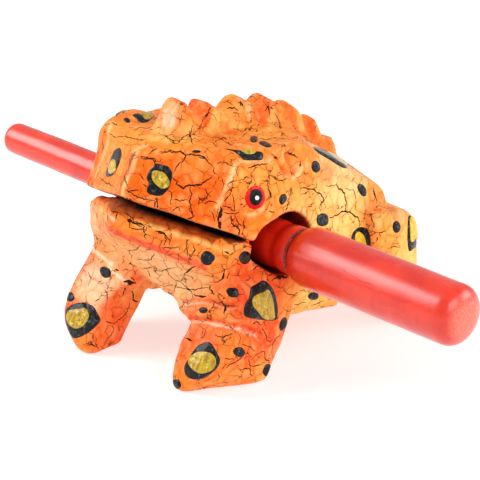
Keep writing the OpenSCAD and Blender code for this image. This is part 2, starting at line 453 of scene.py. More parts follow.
def nets(field, org, h):
    s = field < 0
    n = np.zeros(tuple(k - 1 for k in s.shape), np.int8)
    for a in (0, 1):
        for b in (0, 1):
            for c in (0, 1):
                n += s[a:s.shape[0] - 1 + a, b:s.shape[1] - 1 + b, c:s.shape[2] - 1 + c]
    mixed = (n > 0) & (n < 8)
    ids = np.full(mixed.shape, -1, np.int64)
    cells = np.argwhere(mixed)
    ids[mixed] = np.arange(len(cells))
    acc, cnt = np.zeros((len(cells), 3)), np.zeros(len(cells))
    for axis in range(3):
        unit = np.eye(3, dtype=int)[axis]
        o1, o2 = [np.eye(3, dtype=int)[k] for k in range(3) if k != axis]
        for i in (0, 1):
            for j in (0, 1):
                off = i * o1 + j * o2
                fa = field[tuple((cells + off).T)]
                fb = field[tuple((cells + off + unit).T)]
                c = (fa < 0) != (fb < 0)
                t = fa[c] / (fa[c] - fb[c])
                acc[c] += off + t[:, None] * unit
                cnt[c] += 1
    verts = (cells + acc / cnt[:, None]) * h + org
    quads = []
    for axis in range(3):
        u, v = [(1, 2), (2, 0), (0, 1)][axis]
        unit = np.eye(3, dtype=int)
        lo = [slice(1, -1)] * 3
        lo[axis] = slice(0, -1)
        hi = [slice(1, -1)] * 3
        hi[axis] = slice(1, None)
        a, b = s[tuple(lo)], s[tuple(hi)]
        for flip in (False, True):
            e = np.argwhere((a & ~b) if not flip else (~a & b))
            add = np.array([1, 1, 1])
            add[axis] = 0
            e = e + add
            q = [e - unit[u] - unit[v], e - unit[v], e, e - unit[u]]
            q = np.stack([ids[tuple(c.T)] for c in q], 1)
            quads.append(q[:, ::-1] if flip else q)
    return verts, np.concatenate(quads)


def new_mesh(name, verts, faces, smooth=True):
    me = bpy.data.meshes.new(name)
    verts = np.asarray(verts, np.float32)
    faces = np.asarray(faces, np.int32)
    k = faces.shape[1]
    me.vertices.add(len(verts))
    me.vertices.foreach_set("co", verts.ravel())
    me.loops.add(faces.size)
    me.loops.foreach_set("vertex_index", faces.ravel())
    me.polygons.add(len(faces))
    me.polygons.foreach_set("loop_start", np.arange(0, faces.size, k, dtype=np.int32))
    me.polygons.foreach_set("use_smooth", np.full(len(faces), smooth))
    me.update(calc_edges=True)
    me.validate()
    ob = bpy.data.objects.new(name, me)
    bpy.context.scene.collection.objects.link(ob)
    return ob


verts, quads = nets(F, LOW, H)
for _ in range(3):
    g = np.stack([sample(F, verts + np.eye(3)[k] * 0.35) - sample(F, verts - np.eye(3)[k] * 0.35) for k in range(3)], -1) / 0.7
    step = sample(F, verts)[:, None] * g / np.maximum((g * g).sum(1, keepdims=True), 0.2)
    verts = verts - np.clip(step, -0.3, 0.3)
verts[:, 2] = np.maximum(verts[:, 2], 0.0)
frog = new_mesh("carved_frog", to_row(verts), quads)
print("carved_frog", len(verts), "vertices", len(quads), "quads")
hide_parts("frog_body")
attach(frog, "frog")

# ---------------------------------------------------------------- paint: where each colour goes


def srgb(r, g, b):
    c = np.array([r, g, b], float) / 255.0
    return np.where(c <= 0.04045, c / 12.92, ((c + 0.055) / 1.055) ** 2.4)


DEEP, ORANGE, AMBER, YELLOW = srgb(248, 104, 6), srgb(248, 136, 34), srgb(248, 158, 56), srgb(250, 200, 108)
CREAM, PEACH, PALE = srgb(250, 216, 154), srgb(248, 192, 134), srgb(250, 196, 144)
# the white colour on the next line is used only for painted highlights
BLUSH, HIGHLIGHT_WHITE = srgb(253, 206, 176), srgb(255, 238, 212)
RED, SCARLET, PINK, BURNT = srgb(226, 46, 18), srgb(246, 88, 24), srgb(240, 88, 60), srgb(100, 38, 10)

# point of the frame, reach in mm, colour, large cracks, fine cracks
TOUCHES = [
    ((150, 165), 9, DEEP, 0.2, 0.5), ((190, 172), 11, DEEP, 0.2, 0.4), ((210, 196), 9, DEEP, 0.2, 0.6), ((168, 205), 9, DEEP, 0.2, 0.7),
    ((140, 190), 7, DEEP, 0.2, 0.6), ((200, 158), 6, ORANGE, 0.2, 0.5), ((222, 172), 5, DEEP, 0.2, 0.5), ((187, 176), 3, ORANGE, 0.1, 0.2),
    ((112, 165), 9, AMBER, 0.1, 0.3), ((102, 182), 7, ORANGE, 0.1, 0.3), ((110, 140), 8, AMBER, 0.1, 0.3), ((97, 165), 3.5, DEEP, 0.1, 0.2),
    ((125, 118), 4, ORANGE, 0.1, 0.3), ((140, 131), 5, AMBER, 0.2, 0.4), ((103, 126), 4, ORANGE, 0.1, 0.2),
    ((242, 176), 6, AMBER, 0.2, 1.0), ((264, 178), 6, AMBER, 0.2, 1.0), ((245, 214), 6, ORANGE, 0.2, 1.0), ((230, 222), 5, SCARLET, 0.2, 0.9),
    ((262, 212), 6, ORANGE, 0.1, 0.8), ((150, 139), 7, AMBER, 0.2, 0.5), ((213, 147), 6, ORANGE, 0.2, 0.5), ((255, 148), 6, ORANGE, 0.2, 0.5),
    ((175, 144), 6, AMBER, 0.2, 0.5), ((168, 119), 3.0, BLUSH, 0.2, 0.7), ((173, 110), 2.5, PEACH, 0.2, 0.7), ((156, 128), 3.2, YELLOW, 0.2, 0.6), ((163, 132), 3.0, YELLOW, 0.2, 0.6), ((160, 112), 4, ORANGE, 0.2, 0.5), ((186, 122), 6, ORANGE, 0.2, 0.8), ((203, 104), 4, SCARLET, 0.2, 0.5),
    ((232, 112), 6, AMBER, 0.2, 0.9), ((243, 105), 4, ORANGE, 0.2, 0.6), ((262, 108), 5, DEEP, 0.2, 0.6), ((262, 130), 7, AMBER, 0.2, 0.6),
    ((290, 120), 6, ORANGE, 0.2, 0.5), ((310, 126), 5, DEEP, 0.2, 0.3), ((330, 141), 5, ORANGE, 0.2, 0.3), ((300, 150), 6, ORANGE, 0.2, 0.3),
    ((300, 188), 8, AMBER, 0.2, 0.9), ((325, 206), 9, YELLOW, 0.2, 0.8), ((340, 190), 8, CREAM, 0.2, 0.5), ((346, 216), 8, YELLOW, 0.2, 0.8),
    ((310, 168), 7, ORANGE, 0.2, 0.6), ((290, 165), 6, ORANGE, 0.2, 0.6), ((357, 206), 6, YELLOW, 0.2, 0.7), ((329, 176), 3.0, DEEP, 0.2, 0.5), ((366, 205), 3.0, DEEP, 0.2, 0.5), ((413, 226), 4, YELLOW, 0.2, 0.4), ((400, 212), 4, PALE, 0.2, 0.4), ((374, 198), 5, ORANGE, 0.3, 0.4),
    ((352, 172), 6, PEACH, 0.3, 0.4), ((330, 160), 6, PEACH, 0.2, 0.4), ((385, 235), 8, AMBER, 0.3, 0.8), ((395, 214), 6, AMBER, 0.3, 0.6),
    ((407, 250), 6, YELLOW, 0.3, 0.5), ((300, 205), 6, YELLOW, 0.2, 0.5), ((296, 168), 2.2, PALE, 0.1, 0.2),
    ((150, 232), 7, ORANGE, 0.2, 1.0), ((190, 242), 7, ORANGE, 0.2, 1.0), ((122, 222), 6, ORANGE, 0.2, 0.8), ((100, 212), 6, AMBER, 0.2, 0.6),
    ((95, 228), 5, PALE, 0.1, 0.4), ((225, 249), 6, AMBER, 0.2, 0.9), ((247, 266), 6, SCARLET, 0.2, 0.9),
    ((112, 246), 8, PEACH, 0.2, 0.7), ((150, 262), 9, PEACH, 0.2, 0.6), ((180, 275), 9, PEACH, 0.2, 0.6), ((200, 287), 7, PEACH, 0.2, 0.6),
    ((215, 272), 7, ORANGE, 0.2, 0.9), ((218, 296), 6, AMBER, 0.2, 0.7), ((235, 282), 6, SCARLET, 0.2, 0.9),
    ((250, 285), 6, SCARLET, 0.2, 0.8), ((272, 292), 6, SCARLET, 0.3, 0.8), ((247, 303), 5, RED, 0.2, 0.6), ((270, 318), 6, SCARLET, 0.3, 0.9),
    ((212, 312), 6, ORANGE, 0.2, 0.6), ((235, 318), 5, SCARLET, 0.2, 0.7), ((224, 288), 4, RED, 0.2, 0.6), ((190, 311), 4, SCARLET, 0.2, 0.5), ((267, 337), 4, SCARLET, 0.2, 0.8), ((248, 373), 4, SCARLET, 0.2, 0.6), ((205, 334), 6, SCARLET, 0.2, 0.5), ((232, 344), 7, ORANGE, 0.2, 0.8),
    ((252, 350), 7, SCARLET, 0.2, 0.9), ((185, 357), 5, ORANGE, 0.2, 0.6), ((180, 345), 4, RED, 0.2, 0.3), ((222, 381), 6, ORANGE, 0.2, 0.8),
    ((255, 374), 6, AMBER, 0.3, 0.8), ((276, 340), 5, PINK, 0.4, 0.7), ((285, 305), 5, AMBER, 0.4, 0.8), ((312, 301), 8, YELLOW, 0.3, 0.5),
    ((95, 254), 3.2, ORANGE, 0.1, 0.3), ((108, 262), 3.4, ORANGE, 0.1, 0.4), ((120, 272), 3.4, ORANGE, 0.1, 0.5), ((128, 281), 3.2, DEEP, 0.1, 0.5), ((108, 288), 7, BLUSH, 0.2, 1.0), ((95, 277), 5, BLUSH, 0.1, 0.6), ((92, 290), 5, PEACH, 0.1, 0.6), ((120, 320), 7, SCARLET, 0.2, 0.7),
    ((138, 300), 7, AMBER, 0.2, 0.5), ((92, 345), 7, ORANGE, 0.2, 0.7), ((70, 312), 5, SCARLET, 0.2, 0.5), ((100, 335), 6, SCARLET, 0.2, 0.8),
]
# run in the frame, half width in mm, colour, strength
BANDS = [
    ([(109, 229.2), (125.8, 237.6), (145.7, 244.6), (169.6, 254.4), (193.5, 263.0), (203, 267)], 1.25, PINK, 0.9),
    # painted highlight: a cream line on the bevel between the nose's facet and the eye's plate
    ([(235, 165), (231.1, 177.5), (227.1, 185.5), (223.1, 194.9), (217, 207)], 0.7, CREAM, 0.7),
    ([(237.2, 162.1), (254, 160.6), (271.3, 160.8)], 0.6, PALE, 0.6),
    ([(133.9, 152.6), (129.8, 165.5), (126.3, 174.3), (120.4, 186), (118.6, 194.3)], 0.3, BURNT, 0.8),
    # the cream runs on this line and the next paint the highlight on the nose ridge's bevel
    ([(137.2, 152.6), (133, 165.5), (129.5, 174.3), (123.6, 186), (121.8, 194.3)], 0.5, CREAM, 0.8),
    ([(133.9, 151.4), (140, 147.8), (145.6, 145.6)], 0.5, CREAM, 0.7),
    ([(109.8, 124.4), (107.5, 144.4), (95.1, 176.7)], 0.5, PALE, 0.7), ([(104.5, 132), (101, 147), (96, 163), (93.5, 172)], 0.9, DEEP, 0.75),
    # painted highlight and shade on the near arm: the white runs paint highlights on the lit edges of the wrist and
    # chest creases, the red runs beside them paint the shade in the creases
    ([(192.4, 322.6), (206.5, 322.8), (223, 326.2), (239.6, 329.6), (254.6, 336)], 0.45, HIGHLIGHT_WHITE, 0.8), ([(190, 318), (206, 319), (223, 322.5), (240, 326), (256, 332)], 0.5, RED, 0.7),
    ([(184.1, 304.6), (194, 303.6), (204.8, 303.6), (218.1, 306.2), (226.4, 309.4), (233.8, 309.4)], 0.4, HIGHLIGHT_WHITE, 0.7), ([(184, 301.5), (196, 300), (206, 299.6), (219, 302.5), (234, 305.5)], 0.5, RED, 0.55),
    # painted highlights: white streaks along the right arm's roll
    ([(93.5, 250), (103, 257.5), (111.5, 264.5)], 0.5, HIGHLIGHT_WHITE, 0.85), ([(108, 267.5), (118, 275.5), (127, 283)], 0.45, HIGHLIGHT_WHITE, 0.75),
    # the white run at the end of this line paints a highlight at the lower lip's left end
    ([(160, 108), (163, 114), (160.5, 121)], 0.3, SCARLET, 0.6), ([(168, 112), (166, 119), (169, 126)], 0.3, PINK, 0.6), ([(157, 117), (160, 126), (165, 131)], 0.3, SCARLET, 0.5), ([(110, 216), (113, 219.5)], 0.6, HIGHLIGHT_WHITE, 0.8),
    # painted highlight: a yellow line along the lower lip's front edge
    ([(138, 222.5), (152, 226.5), (170, 232), (188, 237.5), (206, 243.5), (224, 250.5)], 0.55, YELLOW, 0.85),
    ([(96, 203), (95, 214), (94, 232)], 1.0, PALE, 0.5),
    ([(216, 113), (214.5, 120), (213, 129)], 1.7, YELLOW, 0.6), ([(272.5, 112), (272.5, 120), (272, 130)], 1.8, YELLOW, 0.6), ([(299, 115), (301, 128)], 1.4, YELLOW, 0.55),
    ([(316.5, 124), (319, 132)], 1.0, YELLOW, 0.5), ([(239, 108), (237, 124)], 1.5, YELLOW, 0.45), ([(248.5, 105), (249, 114)], 1.2, CREAM, 0.5),
    ([(201, 107), (205, 117)], 1.8, DEEP, 0.65), ([(261, 100), (266, 111)], 1.8, DEEP, 0.65), ([(286, 107), (291, 118)], 1.5, DEEP, 0.6), ([(309, 117), (312, 124)], 1.2, DEEP, 0.6),
    ([(152, 137), (176, 140), (204, 137)], 1.3, YELLOW, 0.45), ([(167, 114), (170, 122)], 1.9, BLUSH, 0.5), ([(228, 128), (232, 134)], 1.5, DEEP, 0.5), ([(183, 130), (190, 126)], 1.6, YELLOW, 0.5),
    ([(176, 99.5), (188, 104.5)], 0.8, SCARLET, 0.6), ([(206, 102.5), (218, 107.5)], 0.8, SCARLET, 0.65),
    ([(237, 97.5), (247, 100.5)], 0.8, SCARLET, 0.6), ([(263, 96), (279, 102.5)], 0.8, SCARLET, 0.6),
    ([(284, 103.5), (300, 111.5)], 0.7, SCARLET, 0.5), ([(312, 116), (320, 127)], 0.7, SCARLET, 0.4),
    ([(250, 177), (257, 175.2), (265, 177)], 0.4, SCARLET, 0.6), ([(245, 213.6), (253, 214.6), (263, 208.5)], 0.5, CREAM, 0.7),
    # painted highlight: a cream line on the chamfer at the foot's left side
    ([(176, 341), (171, 352), (168, 366), (168.6, 378)], 0.8, CREAM, 0.5),
    ([(215, 218.5), (200, 214), (184, 209.5)], 0.8, SCARLET, 0.45),
    ([(285, 154.5), (294, 175.5)], 0.5, DEEP, 0.7), ([(275, 160), (284.5, 175.5)], 0.5, DEEP, 0.7),
    ([(293, 178), (299.5, 174.5), (302.5, 168)], 0.5, CREAM, 0.7),
]

nv = steep(verts)
total = np.full(len(verts), 0.05)
col = np.outer(total, ORANGE)
big = total * 0.85
fine = total * 0.6


def touch(c, n, r, colour, cb, cf, force=1.0):
    global total, col, big, fine
    d2 = ((verts - c) ** 2).sum(1)
    w = force * np.exp(-d2 / (r * r)) * np.clip(nv @ n + 0.1, 0, 1) ** 2
    total = total + w
    col = col + w[:, None] * colour
    big = big + w * cb
    fine = fine + w * cf


MIRROR = np.array([-1, 1, 1.0])
for px, r, colour, cb, cf in TOUCHES:
    c = seen(px)
    if c is None:
        continue
    n = steep(c, 1.5)
    touch(c, n, r, colour, cb, cf)
    if n[0] > 0.45 or (c[0] > 12 and n[1] > -0.4):
        touch(c * MIRROR, n * MIRROR, r, colour, 0.85, cf, 0.7)
paint = col / total[:, None]
big, fine = big / total, fine / total


def along(pxs, step=1.6):
    """A run of frame points with more points between them."""
    out = []
    for a, b in zip(pxs[:-1], pxs[1:]):
        a, b = np.array(a, float), np.array(b, float)
        k = max(1, int(np.linalg.norm(b - a) / step))
        out += [a + (b - a) * i / k for i in range(k)]
    return np.array(out + [np.array(pxs[-1], float)])


def run_reach(p3):
    """Distance of every vertex from a run of points, near enough for a brush."""
    lo, hi = p3.min(0) - 4, p3.max(0) + 4
    ok = np.nonzero(((verts > lo) & (verts < hi)).all(1))[0]
    d = np.full(len(verts), 99.0)
    best = np.full(len(ok), 99.0)
    for p in p3:
        best = np.minimum(best, np.linalg.norm(verts[ok] - p, axis=1))
    d[ok] = best
    return d


ragged = point_noise(verts, 2.2, 31)
for run, half_width, colour, force in BANDS:
    p3 = seen_many(along(run, 1.2))
    p3 = p3[~np.isnan(p3[:, 0])]
    if len(p3) < 2:
        continue
    sides = (1, -1) if steep(p3.mean(0), 2.0)[0] > 0.2 and p3[:, 0].min() > 6 else (1,)
    for side in sides:
        d = run_reach(p3 * np.array([side, 1, 1.0]))
        w = np.clip((half_width - d) / 0.7 + 0.6 + 0.5 * ragged, 0, 1)[:, None] * force
        paint = paint * (1 - w) + colour * w
# painted shade in the mouth: near black on the walls and under the upper lip, darkening toward the slit on the lower
# lip's bevel, partly a brown stain; and the bore
gap = verts[:, 2] - (36.3 - LIP_UP * verts[:, 1])  # above the upper lip's plane
front = sample(np.ascontiguousarray(cut((0, -44, 50), 36, 0)), verts)
mouth = (gap > -6.5) & (gap < 2.5) & (verts[:, 1] < 0) & (front < 0)
hatch = point_noise(verts * np.array([1.0, 0.25, 0.25]), 0.9, 33)
deep_in = -front + 0.5 * hatch + 0.35 * ragged
rim = 0.44 * np.clip((deep_in - 0.2) / 1.0, 0, 1) + 0.56 * np.clip((deep_in - 2.4) / 1.9, 0, 1) * np.where(verts[:, 0] < 3, 0.6, 1.0)
inside = mouth & ((np.abs(verts[:, 0]) < 24.5) | (np.abs(nv[:, 0]) < 0.45))
mouth_shade_and_stain = rim * (inside & (nv[:, 2] > 0.3) & (gap < 0.3))
mouth_shade_and_stain = np.maximum(mouth_shade_and_stain, 1.0 * (inside & (np.abs(nv[:, 2]) <= 0.6) & (gap > -5) & (gap < 0.2) & (front < -3.6)))
mouth_shade_and_stain = np.maximum(mouth_shade_and_stain, 0.95 * (inside & (nv[:, 2] <= -0.4) & (gap < 1.0) & (front < -4)))
mouth_shade_and_stain = mouth_shade_and_stain * np.clip((29.0 - np.abs(verts[:, 0]) + 0.5 * ragged) / 1.5, 0, 1)
hole = 9.6 * np.sqrt(((verts[:, 1] + 0.2) / 11.0) ** 2 + ((verts[:, 2] - 39.1) / 9.3) ** 2)
in_bore = np.clip((30.5 - np.abs(verts[:, 0])) / 2.0, 0, 1) * (hole < 10.7) * (np.abs(nv[:, 0]) < 0.6)
# convex edges, to be painted pale: partly rub wear, partly painted highlight on the ridges
pale_edge_rub_and_highlight = np.clip((sample(F, verts - nv * 1.6) + 1.6) / 1.3, 0, 1)
# hollows, to be painted darker and redder: painted shade
hollow_shade_amount = np.clip((1.6 - sample(F, verts + nv * 1.6)) / 1.6, 0, 1)


def attribute(ob, name, values):
    values = np.asarray(values, np.float32)
    if values.ndim == 2:
        a = ob.data.attributes.new(name, "FLOAT_COLOR", "POINT")
        rgba = np.ones((len(values), 4), np.float32)
        rgba[:, :3] = values
        a.data.foreach_set("color", rgba.ravel())
    else:
        a = ob.data.attributes.new(name, "FLOAT", "POINT")
        a.data.foreach_set("value", values)


attribute(frog, "paint", paint)
attribute(frog, "crack_big", big)
attribute(frog, "crack_fine", fine)
attribute(frog, "mouth_shade_and_stain", np.clip(mouth_shade_and_stain, 0, 1))
attribute(frog, "bore", np.clip(in_bore, 0, 1))
attribute(frog, "pale_edge_rub_and_highlight", pale_edge_rub_and_highlight)
attribute(frog, "hollow_shade", hollow_shade_amount)

# ---------------------------------------------------------------- materials


class Graph:
    """Small helper to lay out shader nodes."""

    def __init__(self, name):
        self.mat = bpy.data.materials.new(name)
        self.mat.use_nodes = True
        self.nt = self.mat.node_tree
        self.nt.nodes.clear()
        self.out = self.nt.nodes.new("ShaderNodeOutputMaterial")
        self.bsdf = self.nt.nodes.new("ShaderNodeBsdfPrincipled")
        self.nt.links.new(self.bsdf.outputs[0], self.out.inputs[0])

    def put(self, sock, v):
        if isinstance(v, bpy.types.NodeSocket):
            self.nt.links.new(v, sock)
        elif v is not None:
            if sock.type == "RGBA" and len(v) == 3:
                v = (*v, 1.0)
            sock.default_value = v

    def node(self, kind, out=0, ins=None, **props):
        n = self.nt.nodes.new(kind)
        for k, v in props.items():
            setattr(n, k, v)
        for k, v in (ins or {}).items():
            self.put(n.inputs[k], v)
        return n.outputs[out]

    def math(self, op, a, b=0.0, c=None, clamp=False):
        n = self.nt.nodes.new("ShaderNodeMath")
        n.operation, n.use_clamp = op, clamp
        self.put(n.inputs[0], a)
        self.put(n.inputs[1], b)
        if c is not None:
            self.put(n.inputs[2], c)
        return n.outputs[0]

    def vec(self, op, a, b):
        n = self.nt.nodes.new("ShaderNodeVectorMath")
        n.operation = op
        self.put(n.inputs[0], a)
        if op == "SCALE":
            self.put(n.inputs["Scale"], b)
        else:
            self.put(n.inputs[1], b)
        return n.outputs[0]

    def mix(self, t, a, b, blend="MIX"):
        n = self.nt.nodes.new("ShaderNodeMix")
        n.data_type, n.blend_type, n.clamp_factor = "RGBA", blend, True
        self.put(n.inputs[0], t)
        self.put(n.inputs[6], a)
        self.put(n.inputs[7], b)
        return n.outputs[2]

    def ramp(self, v, a, b, lo=0.0, hi=1.0, smooth=True):
        n = self.nt.nodes.new("ShaderNodeMapRange")
        n.interpolation_type = "SMOOTHSTEP" if smooth else "LINEAR"
        n.clamp = True
        for k, x in zip(("Value", "From Min", "From Max", "To Min", "To Max"), (v, a, b, lo, hi)):
            self.put(n.inputs[k], x)
        return n.outputs[0]

    def mm(self):
        c = self.node("ShaderNodeTexCoord", "Object")
        return self.vec("SCALE", c, 1000.0)

    def noise(self, p, scale, detail=2.0, rough=0.5, out=0, dist=0.0):
        return self.node("ShaderNodeTexNoise", out, {"Vector": p, "Scale": scale, "Detail": detail, "Roughness": rough, "Distortion": dist})

    def attr(self, name, out=2):
        return self.node("ShaderNodeAttribute", out, attribute_name=name)

    def bump(self, height, strength, distance, normal=None):
        return self.node("ShaderNodeBump", 0, {"Height": height, "Strength": strength, "Distance": distance, "Normal": normal})

    def set(self, **kw):
        for k, v in kw.items():
            self.put(self.bsdf.inputs[k.replace("_", " ")], v)


def crackle_paint():
    g = Graph("crackle_paint")
    p = g.mm()
    base = g.attr("paint", 0)
    cb, cf = g.attr("crack_big"), g.attr("crack_fine")
    # wander of the cracks: long sway, then a jagged edge
    sway = g.vec("SCALE", g.vec("SUBTRACT", g.noise(p, 0.13, 2.0, 0.5, 1), (0.5, 0.5, 0.5)), 7.0)
    jag = g.vec("SCALE", g.vec("SUBTRACT", g.noise(p, 0.9, 3.0, 0.6, 1), (0.5, 0.5, 0.5)), 1.5)
    q = g.vec("ADD", g.vec("ADD", p, sway), jag)
    q2 = g.vec("ADD", g.vec("ADD", p, g.vec("SCALE", sway, 0.6)), g.vec("SCALE", jag, 0.7))
    d_big = g.math("DIVIDE", g.node("ShaderNodeTexVoronoi", 0, {"Vector": q, "Scale": 0.118, "Randomness": 1.0}, feature="DISTANCE_TO_EDGE"), 0.118)
    d_fine = g.math("DIVIDE", g.node("ShaderNodeTexVoronoi", 0, {"Vector": q2, "Scale": 0.27, "Randomness": 1.0}, feature="DISTANCE_TO_EDGE"), 0.27)
    cell = g.node("ShaderNodeTexVoronoi", 1, {"Vector": q2, "Scale": 0.27, "Randomness": 1.0}, feature="F1")
    cell_v = g.node("ShaderNodeSeparateColor", 0, {"Color": cell})
    # cracks open and close along their run
    gape = g.noise(p, 0.30, 2.0, 0.6)
    w_big = g.math("MAXIMUM", g.math("MULTIPLY", g.ramp(gape, 0.38, 0.62, 0.02, 0.30, False), g.math("SUBTRACT", cb, 0.12)), 0.004)
    gape2 = g.noise(g.vec("ADD", p, (31.0, 7.0, 3.0)), 0.24, 2.0, 0.6)
    w_fine = g.math("MAXIMUM", g.math("MULTIPLY", g.ramp(gape2, 0.40, 0.64, -0.03, 0.21, False), cf), 0.003)
    crack_b = g.ramp(d_big, g.math("MULTIPLY", w_big, 0.45), w_big, 1.0, 0.0)
    crack_f = g.ramp(d_fine, g.math("MULTIPLY", w_fine, 0.4), w_fine, 1.0, 0.0)
    crack = g.math("MAXIMUM", crack_b, g.math("MULTIPLY", crack_f, 0.85))
    # paint: cloudy coats, each flake a little different
    cloud = g.noise(p, 0.17, 4.0, 0.6)
    coat = g.mix(g.ramp(cloud, 0.44, 0.68, 0.0, 0.6), base, g.mix(1.0, base, (1.0, 0.72, 0.45), "MULTIPLY"))
    coat = g.mix(g.ramp(cloud, 0.28, 0.45, 0.42, 0.0), coat, g.mix(0.5, base, (0.93, 0.52, 0.15)))
    coat = g.mix(g.ramp(cell_v, 0.50, 1.0, 0.0, 0.42), coat, g.mix(1.0, coat, (1.0, 0.68, 0.45), "MULTIPLY"))
    coat = g.mix(g.ramp(cell_v, 0.45, 0.0, 0.0, 0.30), coat, g.mix(0.5, coat, (0.94, 0.58, 0.20)))
    blush = g.ramp(g.noise(g.vec("ADD", p, (9.0, 40.0, 17.0)), 0.11, 3.0, 0.55), 0.55, 0.74, 0.0, 0.45)
    coat = g.mix(blush, coat, g.mix(1.0, coat, (1.0, 0.55, 0.38), "MULTIPLY"))
    streak = g.noise(g.vec("MULTIPLY", g.vec("ADD", p, jag), (0.7, 0.7, 0.22)), 1.3, 3.0, 0.6)
    coat = g.mix(g.ramp(streak, 0.48, 0.78, 0.0, 0.22), coat, g.mix(0.5, coat, (0.95, 0.62, 0.30)))
    fleck = g.ramp(g.noise(g.vec("ADD", p, (3.0, 11.0, 29.0)), 0.75, 2.0, 0.5), 0.66, 0.74, 0.0, 0.4)
    coat = g.mix(fleck, coat, g.mix(0.6, coat, (0.90, 0.22, 0.10)))
    # edges painted pale (partly rub wear, partly painted highlight on the ridges), hollows painted darker (painted
    # shade), the mouth painted dark (painted shade, partly a stain) and the bore dark red
    pale_edge_mask = g.math("MULTIPLY", g.attr("pale_edge_rub_and_highlight"), g.ramp(g.noise(p, 0.35, 3.0, 0.6), 0.38, 0.62, 0.0, 0.85))
    coat = g.mix(g.math("MULTIPLY", pale_edge_mask, 0.6), coat, (0.94, 0.56, 0.30))
    # painted shade: hollows darker and redder
    coat = g.mix(g.math("MULTIPLY", g.attr("hollow_shade"), 0.5), coat, g.mix(1.0, coat, (0.85, 0.42, 0.20), "MULTIPLY"))
    core = g.math("MULTIPLY", g.ramp(d_fine, 0.5, 1.5, 0.0, 0.34), g.ramp(g.noise(g.vec("ADD", p, (5.0, 2.0, 51.0)), 0.4, 2.0, 0.5), 0.35, 0.65))
    coat = g.mix(core, coat, g.mix(0.55, coat, (1.0, 0.66, 0.28)))
    near = g.math("MULTIPLY", g.ramp(d_fine, 0.0, 0.8, 0.55, 0.0), cf)
    coat = g.mix(near, coat, g.mix(1.0, coat, (0.92, 0.60, 0.36), "MULTIPLY"))
    coat = g.mix(g.math("MULTIPLY", crack, 0.94), coat, (0.026, 0.011, 0.005))
    coat = g.mix(g.attr("bore"), coat, (0.24, 0.020, 0.010))
    # painted shade in the mouth: the lip's bevel darkens toward the slit, walls and undersides near black, partly a
    # stain
    mouth_shade_and_stain = g.attr("mouth_shade_and_stain")
    coat = g.mix(g.ramp(mouth_shade_and_stain, 0.0, 0.5, 0.0, 0.85, False), coat, g.mix(1.0, coat, (0.30, 0.16, 0.10), "MULTIPLY"))
    coat = g.mix(g.ramp(mouth_shade_and_stain, 0.35, 1.0, 0.0, 1.0, False), coat, (0.012, 0.005, 0.003))
    # relief: cracks sunk, brush drag, grain under the paint
    brush = g.noise(g.vec("MULTIPLY", g.vec("ADD", p, jag), (1.0, 1.0, 0.35)), 1.6, 4.0, 0.6)
    grit = g.noise(p, 3.2, 2.0, 0.6)
    h = g.math("ADD", g.math("MULTIPLY", crack, -1.0), g.math("ADD", g.math("MULTIPLY", brush, 0.30), g.math("MULTIPLY", grit, 0.10)))
    h = g.math("ADD", h, g.math("MULTIPLY", g.ramp(d_fine, 0.0, 0.9, 0.0, 0.25), cf))
    g.set(Base_Color=coat, Roughness=g.math("ADD", g.ramp(brush, 0.3, 0.7, 0.34, 0.50), g.math("MULTIPLY", g.math("MAXIMUM", crack, mouth_shade_and_stain), 0.35)),
          Normal=g.bump(h, 0.5, 0.00035))
    g.put(g.bsdf.inputs["Specular IOR Level"], 0.13)
    return g.mat


def crack_dark(name, dark, light):
    g = Graph(name)
    p = g.mm()
    n = g.noise(p, 1.4, 3.0, 0.6)
    g.set(Base_Color=g.mix(g.ramp(n, 0.35, 0.72), dark, light), Roughness=g.ramp(n, 0.3, 0.7, 0.65, 0.9),
          Normal=g.bump(n, 0.4, 0.0002))
    g.put(g.bsdf.inputs["Specular IOR Level"], 0.1)
    return g.mat


def enamel(name, colour, deep, pale, spec=0.5, coat=0.5):
    g = Graph(name)
    p = g.mm()
    pull = g.noise(g.vec("MULTIPLY", p, (1.0, 1.0, 0.4)), 0.9, 3.0, 0.6)
    c = g.mix(g.ramp(pull, 0.34, 0.62), deep, colour)
    # flecks of the pale colour; in the black, ochre and pupil enamels they are painted sheen
    c = g.mix(g.ramp(g.noise(p, 0.75, 3.0, 0.65), 0.53, 0.72, 0.0, 0.9), c, pale)
    ridge = g.noise(g.vec("MULTIPLY", p, (1.0, 1.0, 0.45)), 1.5, 3.0, 0.55)
    g.set(Base_Color=c, Roughness=g.ramp(pull, 0.3, 0.7, 0.16, 0.30), Normal=g.bump(ridge, 0.8, 0.0006))
    g.put(g.bsdf.inputs["Specular IOR Level"], spec)
    g.put(g.bsdf.inputs["Coat Weight"], coat)
    g.put(g.bsdf.inputs["Coat Roughness"], 0.08)
    return g.mat


